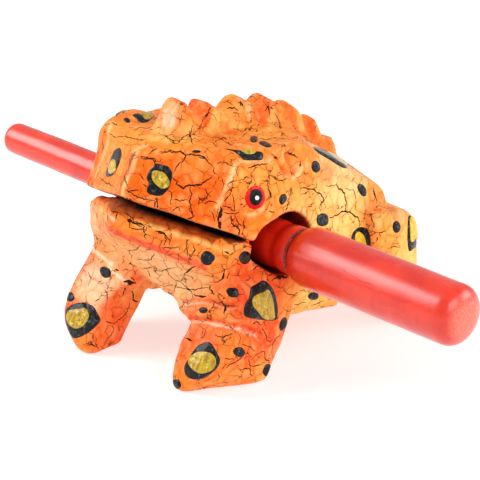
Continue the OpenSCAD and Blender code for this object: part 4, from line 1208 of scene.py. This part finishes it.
HAIR = [
    [(141, 157), (143.6, 158.7), (147.9, 158.2), (152.2, 158.4), (154.3, 157.8), (155.2, 160), (153.9, 163.4)], [(149.6, 153.5), (152.2, 151.4), (156.5, 148.3)],
    [(158.2, 152.6), (162.5, 153.5), (166.8, 152.2), (169.4, 150.5), (172, 152.2), (176.3, 152.6), (178.9, 151.4), (183.2, 153.5), (186.2, 156.1), (184.9, 158.7), (183.2, 160.8)],
    [(186.2, 155.7), (190.1, 154.4), (194.4, 155.2), (199.5, 155.7), (203.8, 157.4), (206.4, 160.8), (211.6, 165.1), (214.6, 168.1)],
    [(183.2, 160.8), (179.7, 162.6), (176.3, 166.9), (173.7, 171.2), (172.4, 173.7)],
    [(190.9, 186.7), (190.1, 190.1), (191.8, 193.5), (190.9, 198.7), (188.8, 200.9), (190.9, 203.9), (190.5, 208.2), (192.2, 210.8), (192.7, 214.2), (195.2, 215.9)],
    [(198.7, 196.1), (199.1, 199.6), (201.3, 200), (204.7, 198.3)], [(199.1, 200.4), (198.7, 203.9)], [(204.7, 188.4), (206.4, 191.8), (209, 195.3), (210.7, 197)],
    [(204.7, 203.9), (207.3, 202.2), (211.6, 200.9), (215, 202.2), (217.6, 203.9)], [(158.2, 197.4), (156.9, 200.4), (154.8, 202.2), (155.2, 206.5), (154.8, 209.9)],
    [(168.5, 190.1), (171.6, 192.7), (172, 197), (170.7, 200.4), (170.3, 203.9)], [(173.7, 199.6), (180.6, 200.4), (188.3, 200)],
    [(127.2, 190.5), (131.5, 191), (135.8, 190.1), (139.3, 190.1)], [(139.3, 173.7), (141.9, 177.2), (144.4, 179.8)], [(142.7, 184.1), (145.7, 185.8), (147, 186.7)],
    [(189.2, 217.7), (190.5, 221.1), (190.1, 225.4)], [(222.8, 206.5), (227.1, 207.3), (230.5, 208.6), (233.1, 210.8), (236.6, 210.8)],
    [(232.3, 194.4), (234, 198.7), (234.4, 203.9), (234, 209)], [(230.5, 215.1), (231.4, 219.4), (234, 222), (233.5, 226.3), (238.3, 226.7), (239.1, 231.4)],
    [(214.6, 168.1), (213.3, 171.2), (215, 173.3), (217.6, 174.2)], [(216.8, 163.4), (221.1, 162.1), (225.4, 162.6), (229.7, 164.7), (234, 167.3)],
    [(235.7, 168.6), (236.6, 172), (237.4, 175.5)], [(224.5, 137.6), (225.4, 141.9), (229.7, 145.3), (232.3, 141.9)],
    [(169.4, 140.2), (172.8, 142.7), (178, 144.5), (181.5, 138.4)], [(128.1, 219.8), (130.7, 221.1), (135.8, 224.1), (141.9, 226.3)],
    [(157.4, 231.4), (161.7, 233.1), (166, 234.9)], [(231.1, 213.7), (230.8, 220.4), (233.1, 225.7), (237.8, 227.1), (239.8, 232.4), (239.2, 236.5)],
    [(238.5, 180.2), (243.2, 180.2), (246.5, 176.8), (249.2, 178.2)], [(253.2, 178.2), (251.2, 182.2), (248.5, 185.5), (247.9, 188.2)],
    [(261.3, 180.2), (265.3, 181.5), (268.6, 180.9)], [(268, 184.2), (269.3, 191.6), (271.3, 195.6), (268.6, 198.3), (265.3, 200.3)],
    [(240.5, 204.3), (243.2, 204.3), (245.2, 207)], [(245.2, 217.7), (243.2, 223.7), (244.9, 229.1)], [(274, 177.5), (278.7, 180.2), (284, 180.2), (286.7, 178.2)],
    [(268.6, 211), (274.7, 212.3)], [(227.8, 184.2), (233.8, 180.9), (237.2, 180.2)], [(313, 189.1), (316.3, 186.9), (316.9, 181.3)], [(314.1, 192.4), (311.9, 195.2)],
    [(325.8, 185.7), (329.7, 186.3), (334.2, 185.2), (336.4, 183.5)], [(342, 218.1), (342.5, 223.7)], [(307.4, 206.9), (311.3, 206.4), (313, 203)],
    [(338.1, 228.1), (338.6, 231.5)], [(344.8, 188), (347.6, 189.1), (354.3, 190.8), (355.9, 196.9), (355.4, 203.6), (355.9, 210.3)],
    [(370.4, 211.4), (375.5, 209.7), (377.7, 204.7), (376.6, 200.3), (374.3, 193.6), (373.2, 188)], [(377.7, 204.7), (383.3, 206.9), (388.8, 209.7), (393.3, 215.9)],
    [(383.3, 213.6), (385.5, 209.2)], [(267.2, 181.3), (268.9, 186.9), (268.3, 192.4), (271.7, 195.8), (268.3, 200.3)], [(378.8, 233.2), (383.3, 231.5), (386.6, 230.9)],
    [(377.1, 237.1), (376.6, 240.4)], [(387.7, 248.2), (393.3, 246.6), (400, 247.1)], [(371, 217), (373.8, 222.6), (374.3, 228.1)],
    [(361, 221.5), (363.2, 218.7), (365.4, 218.1)], [(301.8, 218.1), (306.8, 217)],
    [(282.9, 287.3), (285.1, 291.7), (289.5, 294.5), (294, 295.1), (297.4, 292.9), (299.6, 287.3)], [(299.6, 291.7), (302.9, 290.6), (306.3, 291.7)],
    [(292.9, 305.1), (300.7, 303.5), (307.4, 301.2)], [(310.7, 306.2), (315.2, 304.6), (320.8, 301.8), (325.3, 300.7)], [(286.2, 152.8), (294, 155.1), (298.5, 157.9)],
    [(300.7, 161.2), (300.1, 166.8)], [(303.5, 171.2), (305.2, 174.6), (308.5, 173.5)], [(262, 328.2), (266.2, 334.8), (267, 339.8), (271.1, 341.4)],
    [(255.4, 354.7), (263.7, 351.4), (265.3, 359.7), (272, 363.8)], [(247.9, 358.8), (250.4, 366.3), (257, 365.5), (264.5, 362.2)],
    [(250.4, 366.3), (250.4, 374.6), (252.9, 376.7)], [(226.4, 368), (228.8, 365.5), (236.3, 361.3), (242.1, 358.4)], [(224.7, 358.8), (233.8, 359.3)],
    [(239.6, 334.8), (240.5, 339.8), (238.8, 345.6)], [(214.8, 334.8), (218.1, 336.5), (222.2, 337.3), (223, 341.4), (226.4, 343.1)],
    [(222.2, 338.1), (226.4, 335.6), (233, 334)], [(205.6, 330.7), (204, 334.8), (200.7, 338.1)], [(242.1, 343.9), (246.3, 345.6), (251.2, 347.2), (254.6, 351.4)],
    [(280.3, 334), (275.3, 339.8), (272.8, 343.9), (272.4, 348.9), (271.1, 354.7)], [(239.6, 370.5), (244.6, 368.8), (250.4, 368)],
    [(218.1, 373.8), (218.9, 377.9), (216.4, 381.2)], [(185.7, 337.3), (189.9, 340.2), (193.2, 341.4)], [(252.9, 323.2), (257.9, 322.4), (261.2, 324.9)],
    [(211.4, 300.8), (218.1, 303.3), (224.7, 305.8), (236.3, 305.8)], [(224.7, 304.1), (225.9, 305.8), (224.7, 309.9), (224.3, 314.9)],
    [(207.3, 314.9), (209.8, 318.2), (211.4, 320.7)], [(204.3, 119.4), (206.2, 116.2), (208.8, 112.4), (213.9, 115), (216.4, 120.7)],
    [(226.6, 108.6), (234.3, 107.3), (238.1, 111.1)], [(233, 112.4), (238.1, 113.7), (239.4, 117.5)], [(222.2, 102.8), (226.6, 101.6), (233, 104.1)],
    [(240, 100.9), (240.7, 106)], [(194.1, 135.4), (196, 131.5), (199.8, 126.4), (201.8, 123.2)], [(178.8, 141.7), (182, 137.9), (189.6, 134.1), (190.3, 130.3)],
    [(157.8, 132.8), (164.1, 135.4), (169.2, 138.6), (175.6, 142.4)], [(268.1, 101.6), (268.7, 106), (264.9, 111.1)], [(268.7, 106), (273.8, 108.6)],
    [(273.8, 112.4), (277.7, 117.5), (280.2, 123.9), (282.1, 130.3), (281.5, 136)], [(293, 125.2), (296.8, 130.3), (300.6, 132.8)],
    [(254.7, 134.1), (256.6, 129), (259.8, 122.6), (261.1, 117.5)], [(239.4, 139.2), (244.5, 134.1), (249.6, 130.3), (250.9, 127.7)],
    [(148.8, 154.5), (152.7, 150), (157.8, 148.1)], [(152.7, 158.3), (155.2, 163.4)],
    [(159, 151.3), (168, 151.9), (170.5, 149.4), (175.6, 151.9), (180.7, 151.3), (185.8, 155.8), (184.5, 159.6)], [(187.1, 154.5), (196, 153.9)],
    [(198.6, 157.1), (206.2, 159.6), (208.8, 163.4)], [(208.8, 141.7), (213.9, 143), (216.4, 148.1)], [(284, 153.9), (286.6, 151.3), (291.7, 154.5), (298.1, 157.7)],
    [(271.3, 154.5), (275.1, 157.1), (277.7, 159.6)], [(301.9, 136.6), (308.3, 141.1), (319.7, 144.3)],
    [(129.7, 222.6), (129.1, 227.4), (135.7, 229.1), (145.2, 229.7), (147, 226.2)], [(145.2, 229.7), (144.1, 235.7), (146.4, 239.3)],
    [(154.8, 230.9), (161.9, 232.1), (166.7, 236.9), (170.3, 240.5), (169.1, 245.2)], [(171.5, 233.3), (170.3, 239.3)],
    [(161.9, 247.6), (171.5, 248.2), (178.6, 246.4), (179.8, 250)], [(187, 238.7), (187, 247.6), (187.6, 256)], [(192.9, 244.1), (195.3, 250), (191.8, 254.8)],
    [(224, 251.2), (231.1, 254.8), (233.5, 252.4)], [(231.1, 264.3), (234.7, 258.4), (238.3, 260.7)],
    [(221.6, 264.3), (224, 271.5), (222.8, 278.6), (216.8, 282.2), (209.6, 282.2)], [(229.9, 271.5), (227.5, 278.6)], [(252.6, 270.3), (256.2, 266.7), (259.7, 266.7)],
    [(127.4, 250.6), (132.1, 256.6), (132.7, 261.9), (128.5, 264.3)], [(127.4, 250.6), (135.7, 250), (140.5, 245.2)],
    [(135.7, 259), (144.1, 260.2), (151.2, 259.6), (154.2, 253.6)],
    [(129.1, 263.7), (135.7, 266.1), (144.1, 269.1), (153.6, 266.7), (157.2, 270.3), (161.9, 271.5), (167.3, 269.1), (173.9, 267.9)], [(157.2, 270.3), (154.2, 265.5)],
    [(167.3, 270.3), (170.3, 276.3), (176.3, 281), (181, 281.6), (183.4, 277.4), (185.2, 272.7)], [(181, 281.6), (187, 288.2), (191.8, 291.8), (192.9, 297.7)],
    [(147.6, 270.3), (150, 276.8)], [(133.3, 269.1), (135.7, 273.9)],
    [(158.4, 287), (164.3, 286.4), (171.5, 284.6), (176.3, 287), (185.8, 288.2), (189.4, 289.4), (196.5, 289.4), (202.5, 287), (208.5, 288.2)],
    [(192.9, 294.1), (200.1, 296.5), (206.1, 296.5)], [(225.1, 305.5), (232.3, 306.1)], [(214.4, 300.1), (213.2, 307.3), (208.5, 312)],
    [(191.8, 320.4), (198.9, 319.2), (207.3, 320.4)], [(222.8, 205.9), (228.7, 207.1), (234.7, 211.9), (234.7, 203.5)],
    [(229.9, 215.4), (231.1, 222.6), (234.7, 226.2), (239.5, 229.7), (238.9, 236.9)], [(244.2, 219), (244.2, 227.4)], [(100, 263.3), (103.1, 260.6)],
    [(130.4, 276.6), (134.6, 280.8)], [(129.6, 302.2), (128.8, 307.7), (124.9, 314.7), (120.2, 318.6), (115.6, 322.5), (112.5, 324)],
    [(111.7, 325.6), (113.6, 329.5), (112.5, 333.4), (109.3, 337.3), (105.5, 341.9), (103.1, 345.8)], [(95.3, 336.5), (96.9, 340.4), (96.1, 344.3), (98.5, 349.7)],
    [(88.3, 341.9), (91.5, 344.3), (96.1, 346.6)], [(87.6, 271.1), (90.7, 278.1), (88.3, 285.9)], [(98.5, 283.6), (101.6, 280.5)], [(104.7, 289.8), (107.8, 294.5)],
    [(111.7, 314.7), (112.5, 317.8)], [(106.2, 321.7), (111.7, 323.2)], [(118.7, 327.1), (119.5, 331)],
    [(140.8, 156.3), (147.4, 157.8), (154.1, 160.0)],
    [(192.8, 144.1), (191.2, 139.3), (190.1, 134.8), (191.2, 130.4), (192.8, 125.3)],
    [(167.3, 138.6), (175.1, 140.8), (183.9, 139.7), (195.0, 138.6), (200.5, 140.8)],
    [(212.7, 146.3), (216.0, 140.8), (224.8, 138.6)],
    [(232.6, 127.5), (242.5, 132.0), (248.0, 127.5), (251.4, 133.1)],
    [(201.6, 118.7), (208.2, 113.2), (210.5, 106.5)],
    [(243.6, 108.7), (242.5, 104.3), (239.2, 102.1)],
    [(270.2, 119.8), (269.0, 111.0), (266.8, 105.4)],
    [(279.0, 125.3), (282.3, 133.1), (287.8, 137.5), (297.8, 138.6)],
    [(102.1, 125.3), (113.2, 123.1), (117.6, 125.3)],
    [(101.7, 137.9), (103.4, 146.3), (101.2, 153.0)],
    [(127.5, 186.1), (125.5, 179.9), (124.2, 175.1), (126.9, 168.9)],
    [(99.9, 177.3), (106.5, 183.5), (113.2, 186.1)],
    [(108.7, 133.1), (115.4, 137.5), (124.2, 136.4), (133.1, 138.6), (146.3, 139.7)],
    [(133.1, 130.9), (139.7, 127.5), (153.0, 129.7)],
    [(127.5, 190.6), (137.5, 197.2), (146.3, 199.4), (154.1, 200.5), (156.3, 197.2)],
    [(156.3, 197.2), (157.8, 204.9), (156.5, 214.4)],
    [(133.1, 203.8), (139.7, 208.2), (138.6, 212.7)],
    [(190.6, 207.1), (189.4, 210.5), (192.8, 216.0)],
    [(198.3, 203.8), (200.5, 197.2), (207.1, 199.4), (208.2, 193.2), (212.7, 190.6)],
    [(214.9, 221.5), (212.7, 213.8), (209.3, 210.5)],
    [(168.4, 221.5), (179.5, 217.1), (186.1, 219.3), (195.0, 216.0)],
    [(172.9, 210.5), (177.3, 207.1), (180.6, 211.6)],
    [(221.5, 177.3), (223.7, 183.9), (221.5, 190.6)],
    [(225.9, 206.0), (224.8, 200.5), (230.4, 195.0), (232.6, 183.9), (234.3, 176.2)],
    [(234.8, 214.9), (239.2, 223.7), (243.6, 225.9), (242.5, 234.8)],
    [(223.7, 212.7), (232.6, 213.8), (239.2, 212.7)],
    [(248.0, 168.4), (256.9, 165.1), (267.9, 164.0)],
    [(111.0, 210.5), (117.6, 212.7), (115.4, 219.3)],
    [(135.3, 221.5), (144.1, 225.9), (143.0, 232.6)],
    [(164.0, 232.6), (166.2, 239.2), (164.0, 245.8)],
    [(124.2, 212.7), (130.9, 216.0), (134.2, 221.5)],
]


def crack_mesh(run, width, seed):
    """Thin dark lines along a run of the frame, jagged, tapering at both ends."""
    rng = np.random.RandomState(seed)
    px = along(run, 1.5)
    px[1:-1] += rng.normal(0, 0.38, (len(px) - 2, 2)) if len(px) > 2 else 0
    q = seen_many(px)
    made = []
    start = 0
    for i in range(1, len(q) + 1):
        if i == len(q) or np.isnan(q[i, 0]) or not np.linalg.norm(q[i] - q[i - 1]) < 2.6:
            if i - start >= 3 and not np.isnan(q[start:i]).any():
                made.append(crack_strip(q[start:i], width, rng))
            start = i
    return made


def crack_strip(q, width, rng):
    n = steep(q, 0.7)
    t = np.gradient(q, axis=0)
    s = np.cross(n, t)
    s /= np.maximum(np.linalg.norm(s, axis=1, keepdims=True), 1e-9)
    f = np.linspace(0, 1, len(q))
    w = width * (0.35 + 0.65 * np.sin(math.pi * np.clip(f, 0.02, 0.98)) ** 0.5) * rng.uniform(0.65, 1.3, len(q)) / 2
    v = np.stack([q - s * w[:, None] - n * 0.08, q + n * 0.06, q + s * w[:, None] - n * 0.08], 1).reshape(-1, 3)
    faces = []
    for i in range(len(q) - 1):
        a, b = 3 * i, 3 * i + 3
        faces += [(a, b, b + 1, a + 1), (a + 1, b + 1, b + 2, a + 2)]
    return v, faces


cracks = []
for k, run in enumerate(WIDE):
    cracks += crack_mesh(run, 1.22, 300 + k)
for k, run in enumerate(HAIR):
    cracks += crack_mesh(run, 0.74, 400 + k)
gather("crackle_lines", cracks, CRACK)

# ---------------------------------------------------------------- stick
AXIS = np.array([math.cos(TILT), 0, -math.sin(TILT)])
S1 = np.array([0, 1.0, 0])
S2 = np.cross(AXIS, S1)
ROOT = np.array([0, 0, 39.65])


def on_handle(px):
    """Place along the stick and round it, where a line of sight meets the handle."""
    d = sight(px)
    o = CAM - ROOT
    a1, b1 = d - (d @ AXIS) * AXIS, o - (o @ AXIS) * AXIS
    a, b, c = a1 @ a1, 2 * a1 @ b1, b1 @ b1 - 9.2 ** 2
    t = (-b - math.sqrt(max(b * b - 4 * a * c, 0))) / (2 * a)
    p = o + t * d
    return p @ AXIS, math.atan2(p @ S2, p @ S1)


def lathe(name, profile, node, material, segs=112, seed=0, waver=0.03, grime=None, deep=None, dent=None):
    """Turns a closed run of (u, r) about the stick's axis."""
    prof = np.asarray(profile, float)
    t = np.linspace(0, 2 * math.pi, segs, endpoint=False)
    n = len(prof)
    u = np.repeat(prof[:, 0], segs)
    r = np.repeat(prof[:, 1], segs)
    a = np.tile(t, n)
    v = ROOT + u[:, None] * AXIS + (r * np.cos(a))[:, None] * S1 + (r * np.sin(a))[:, None] * S2
    r = r + waver * point_noise(v + seed, 7.0, 51) * np.clip(r / 4.0, 0, 1)
    dirt = np.zeros(len(u) + 2)
    if dent is not None:
        d = np.full(len(u), 99.0)
        for (u0, a0), (u1, a1) in zip(dent[:-1], dent[1:]):
            for f in np.linspace(0, 1, 30):
                turn = np.angle(np.exp(1j * (a - (a0 + (a1 - a0) * f))))
                d = np.minimum(d, np.hypot(u - (u0 + (u1 - u0) * f), turn * 9.2))
        d = np.where(r > 8, d, 99.0)
        r = r - 0.12 * np.exp(-(d / 0.45) ** 2)
        dirt[:-2] = 0.36 * np.exp(-(d / 0.35) ** 2)
    v = ROOT + u[:, None] * AXIS + (r * np.cos(a))[:, None] * S1 + (r * np.sin(a))[:, None] * S2
    if grime is not None:
        dirt[:-2] = np.maximum(dirt[:-2], grime(u, r))
    faces = []
    for i in range(n - 1):
        for k in range(segs):
            k2 = (k + 1) % segs
            faces.append((i * segs + k, i * segs + k2, (i + 1) * segs + k2, (i + 1) * segs + k))
    tris = []
    v = np.concatenate([v, [ROOT + prof[0, 0] * AXIS, ROOT + prof[-1, 0] * AXIS]])
    for k in range(segs):
        k2 = (k + 1) % segs
        tris.append((n * segs, k2, k))
        tris.append((n * segs + 1, (n - 1) * segs + k, (n - 1) * segs + k2))
    me = bpy.data.meshes.new(name)
    me.from_pydata([tuple(p) for p in to_row(v)], [], tris + faces)
    me.polygons.foreach_set("use_smooth", np.ones(len(me.polygons), bool))
    me.update()
    ob = bpy.data.objects.new(name, me)
    bpy.context.scene.collection.objects.link(ob)
    me.materials.append(material)
    attribute(ob, "grime", dirt)
    attribute(ob, "deep", np.concatenate([deep(u) if deep is not None else np.zeros(len(u)), [0, 0]]))
    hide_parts(node)
    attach(ob, "striker")
    return ob


def easy(points, step=0.6):
    """A run of points with more points along each straight, so it shades evenly."""
    out = []
    for a, b in zip(points[:-1], points[1:]):
        a, b = np.array(a, float), np.array(b, float)
        n = max(1, int(np.linalg.norm(b - a) / step))
        for k in range(n):
            out.append(a + (b - a) * k / n)
    out.append(np.array(points[-1], float))
    return out


us = U_SHOULDER
tip = [(U_TIP + 2.5 - 2.5 * math.cos(a), 2.5 + 2.5 * math.sin(a)) for a in np.linspace(0, math.pi / 2, 9)]
shaft = easy([(U_TIP, 0.2), (U_TIP, 2.5)], 0.8)[:-1] + tip
shaft += easy([(U_TIP + 2.5, 5.0), (us - 21.5, 5.7)], 1.6)[1:]
shaft += [(us - 21.0, 5.72), (us - 20.2, 5.9), (us - 19.2, 6.4), (us - 18.4, 6.85), (us - 17.6, 7.2), (us - 16.8, 7.38), (us - 15.8, 7.45), (us - 14.4, 7.47), (us - 13.0, 7.46),
          (us - 11.6, 7.46), (us - 10.4, 7.44), (us - 9.4, 7.40), (us - 8.5, 7.28), (us - 7.8, 7.08), (us - 7.2, 6.94), (us - 6.6, 6.90), (us - 6.0, 6.98), (us - 5.3, 7.22), (us - 4.4, 7.42), (us - 3.2, 7.47),
          (us - 2.2, 7.44), (us - 1.3, 7.3), (us - 0.6, 7.0), (us - 0.05, 6.5)]
shaft += [(us - 0.02, 5.6), (us, 4.55), (us + 0.3, 4.5), (us + 12, 4.5), (us + 23.6, 4.5), (us + 24, 4.3), (us + 24, 0.2)]
# the deep mask paints the neck inside the mouth a deeper red: painted shade
lathe("turned_shaft", shaft, "striker_shaft", SHAFT, seed=3, waver=0.10,
      grime=lambda u, r: np.maximum(0.85 * np.exp(-((u - us + 0.2) / 0.9) ** 2), 0.30 * np.exp(-((u - us + 6.8) / 0.8) ** 2)),
      deep=lambda u: np.clip((u - us + 26) / 6, 0, 1))
END = U_BUTT - 0.6
butt = [(END - 5.6 + 5.6 * math.sin(a) ** 0.9, 9.2 * math.cos(a) ** 0.68) for a in np.linspace(0.06, math.pi / 2 - 0.004, 22)]
handle = [(us + 24.2, 0.2), (us + 24.2, 4.55), (us + 12, 4.55), (us + 0.2, 4.55), (us + 0.02, 4.7), (us + 0.02, 5.6)]
handle += [(us + 0.02 + 5.4 - 5.4 * math.cos(a), 6.2 + 3 * math.sin(a)) for a in np.linspace(0.05, math.pi / 2, 12)]
handle += easy([(us + 5.5, 9.2), (END - 5.6, 9.2)], 0.8)[1:]
handle += butt + [(END, 0.1)]
turned = lathe("turned_handle", handle, "striker_handle", HANDLE, seed=8, waver=0.05,
      grime=lambda u, r: np.where(r < 8.6, 0.75 * np.exp(-(np.maximum(u - us, 0) / 0.6) ** 2), 0.0))
# the end face is painted paler: partly rub wear, partly a painted sheen
ends = np.array([v.co[:] for v in turned.data.vertices]) * 1000.0 + MID - ROOT
attribute(turned, "worn_and_sheen", 0.62 * np.clip((ends @ AXIS - END + 1.6) / 1.2, 0, 1))
# a scratch along the handle: a thin dark line with a raised lip
run = along([(325, 264), (334, 267), (343, 270.5), (350, 274.5), (357.6, 279.5), (366, 282.5), (375.5, 285.6)], 1.4)
where = np.array([on_handle(q) for q in run])
rng = np.random.RandomState(12)
mark = []
for off, wide, high in ((0.0, 0.26, 0.03), (0.42, 0.16, 0.06)):
    ring_c = ROOT + where[:, :1] * AXIS
    out = np.cos(where[:, 1:]) * S1 + np.sin(where[:, 1:]) * S2
    side = np.cross(out, AXIS)
    mid = ring_c + out * 9.2 + side * (off + rng.normal(0, 0.05, (len(where), 1)))
    f = np.linspace(0, 1, len(where))
    wd = (wide * np.sin(math.pi * np.clip(f, 0.04, 0.96)) ** 0.5 * rng.uniform(0.6, 1.3, len(where)) / 2)[:, None]
    v = np.stack([mid - side * wd - out * 0.08, mid + out * high, mid + side * wd - out * 0.08], 1).reshape(-1, 3)
    fs = []
    for i in range(len(where) - 1):
        a, b = 3 * i, 3 * i + 3
        fs += [(a, b, b + 1, a + 1), (a + 1, b + 1, b + 2, a + 2)]
    mark.append((v, fs))
scratch = gather("handle_scratch", mark[:1], SCRATCH, "striker")
scratch_lip = gather("handle_scratch_lip", mark[1:], HANDLE, "striker")
attribute(scratch_lip, "grime", np.zeros(len(scratch_lip.data.vertices)))
attribute(scratch_lip, "deep", np.zeros(len(scratch_lip.data.vertices)))

# ---------------------------------------------------------------- stage
floor = new_mesh("floor", np.array([[-4, -4, 0], [4, -4, 0], [4, 4, 0], [-4, 4, 0]]), np.array([[0, 1, 2, 3]]))
fg = Graph("pale_floor")
fg.set(Base_Color=fg.mix(fg.noise(fg.node("ShaderNodeTexCoord", "Object"), 6.0, 2.0), (0.50, 0.50, 0.50), (0.52, 0.52, 0.52)), Roughness=0.9)
fg.put(fg.bsdf.inputs["Emission Color"], (1.0, 1.0, 1.0, 1.0))
fg.put(fg.bsdf.inputs["Emission Strength"], 0.58)
fg.put(fg.bsdf.inputs["Specular IOR Level"], 0.1)
floor.data.materials.append(fg.mat)
world = bpy.data.worlds.new("studio")
bpy.context.scene.world = world
world.use_nodes = True
bg = world.node_tree.nodes.get("Background") or world.node_tree.nodes.new("ShaderNodeBackground")
bg.inputs["Color"].default_value = (1, 1, 1, 1)
bg.inputs["Strength"].default_value = 0.56
bpy.context.scene.view_settings.view_transform = "Standard"


def softbox(name, place, aim, size, power):
    ld = bpy.data.lights.new(name, "AREA")
    ld.shape = "RECTANGLE"
    ld.size, ld.size_y = size
    ld.energy = power
    lo = bpy.data.objects.new(name, ld)
    bpy.context.scene.collection.objects.link(lo)
    lo.location = place
    lo.rotation_mode = "QUATERNION"
    lo.rotation_quaternion = (Vector(aim) - Vector(place)).to_track_quat("-Z", "Y")


softbox("key", (-0.588, -0.460, 0.54), (0, 0, 0.04), (0.5, 0.60), 6.4)
softbox("fill", (0.81, -0.10, 0.42), (0, 0, 0.04), (0.6, 0.5), 3.6)
softbox("rim", (0.55, 0.62, 0.36), (0.05, 0, 0.04), (0.5, 0.4), 3.0)
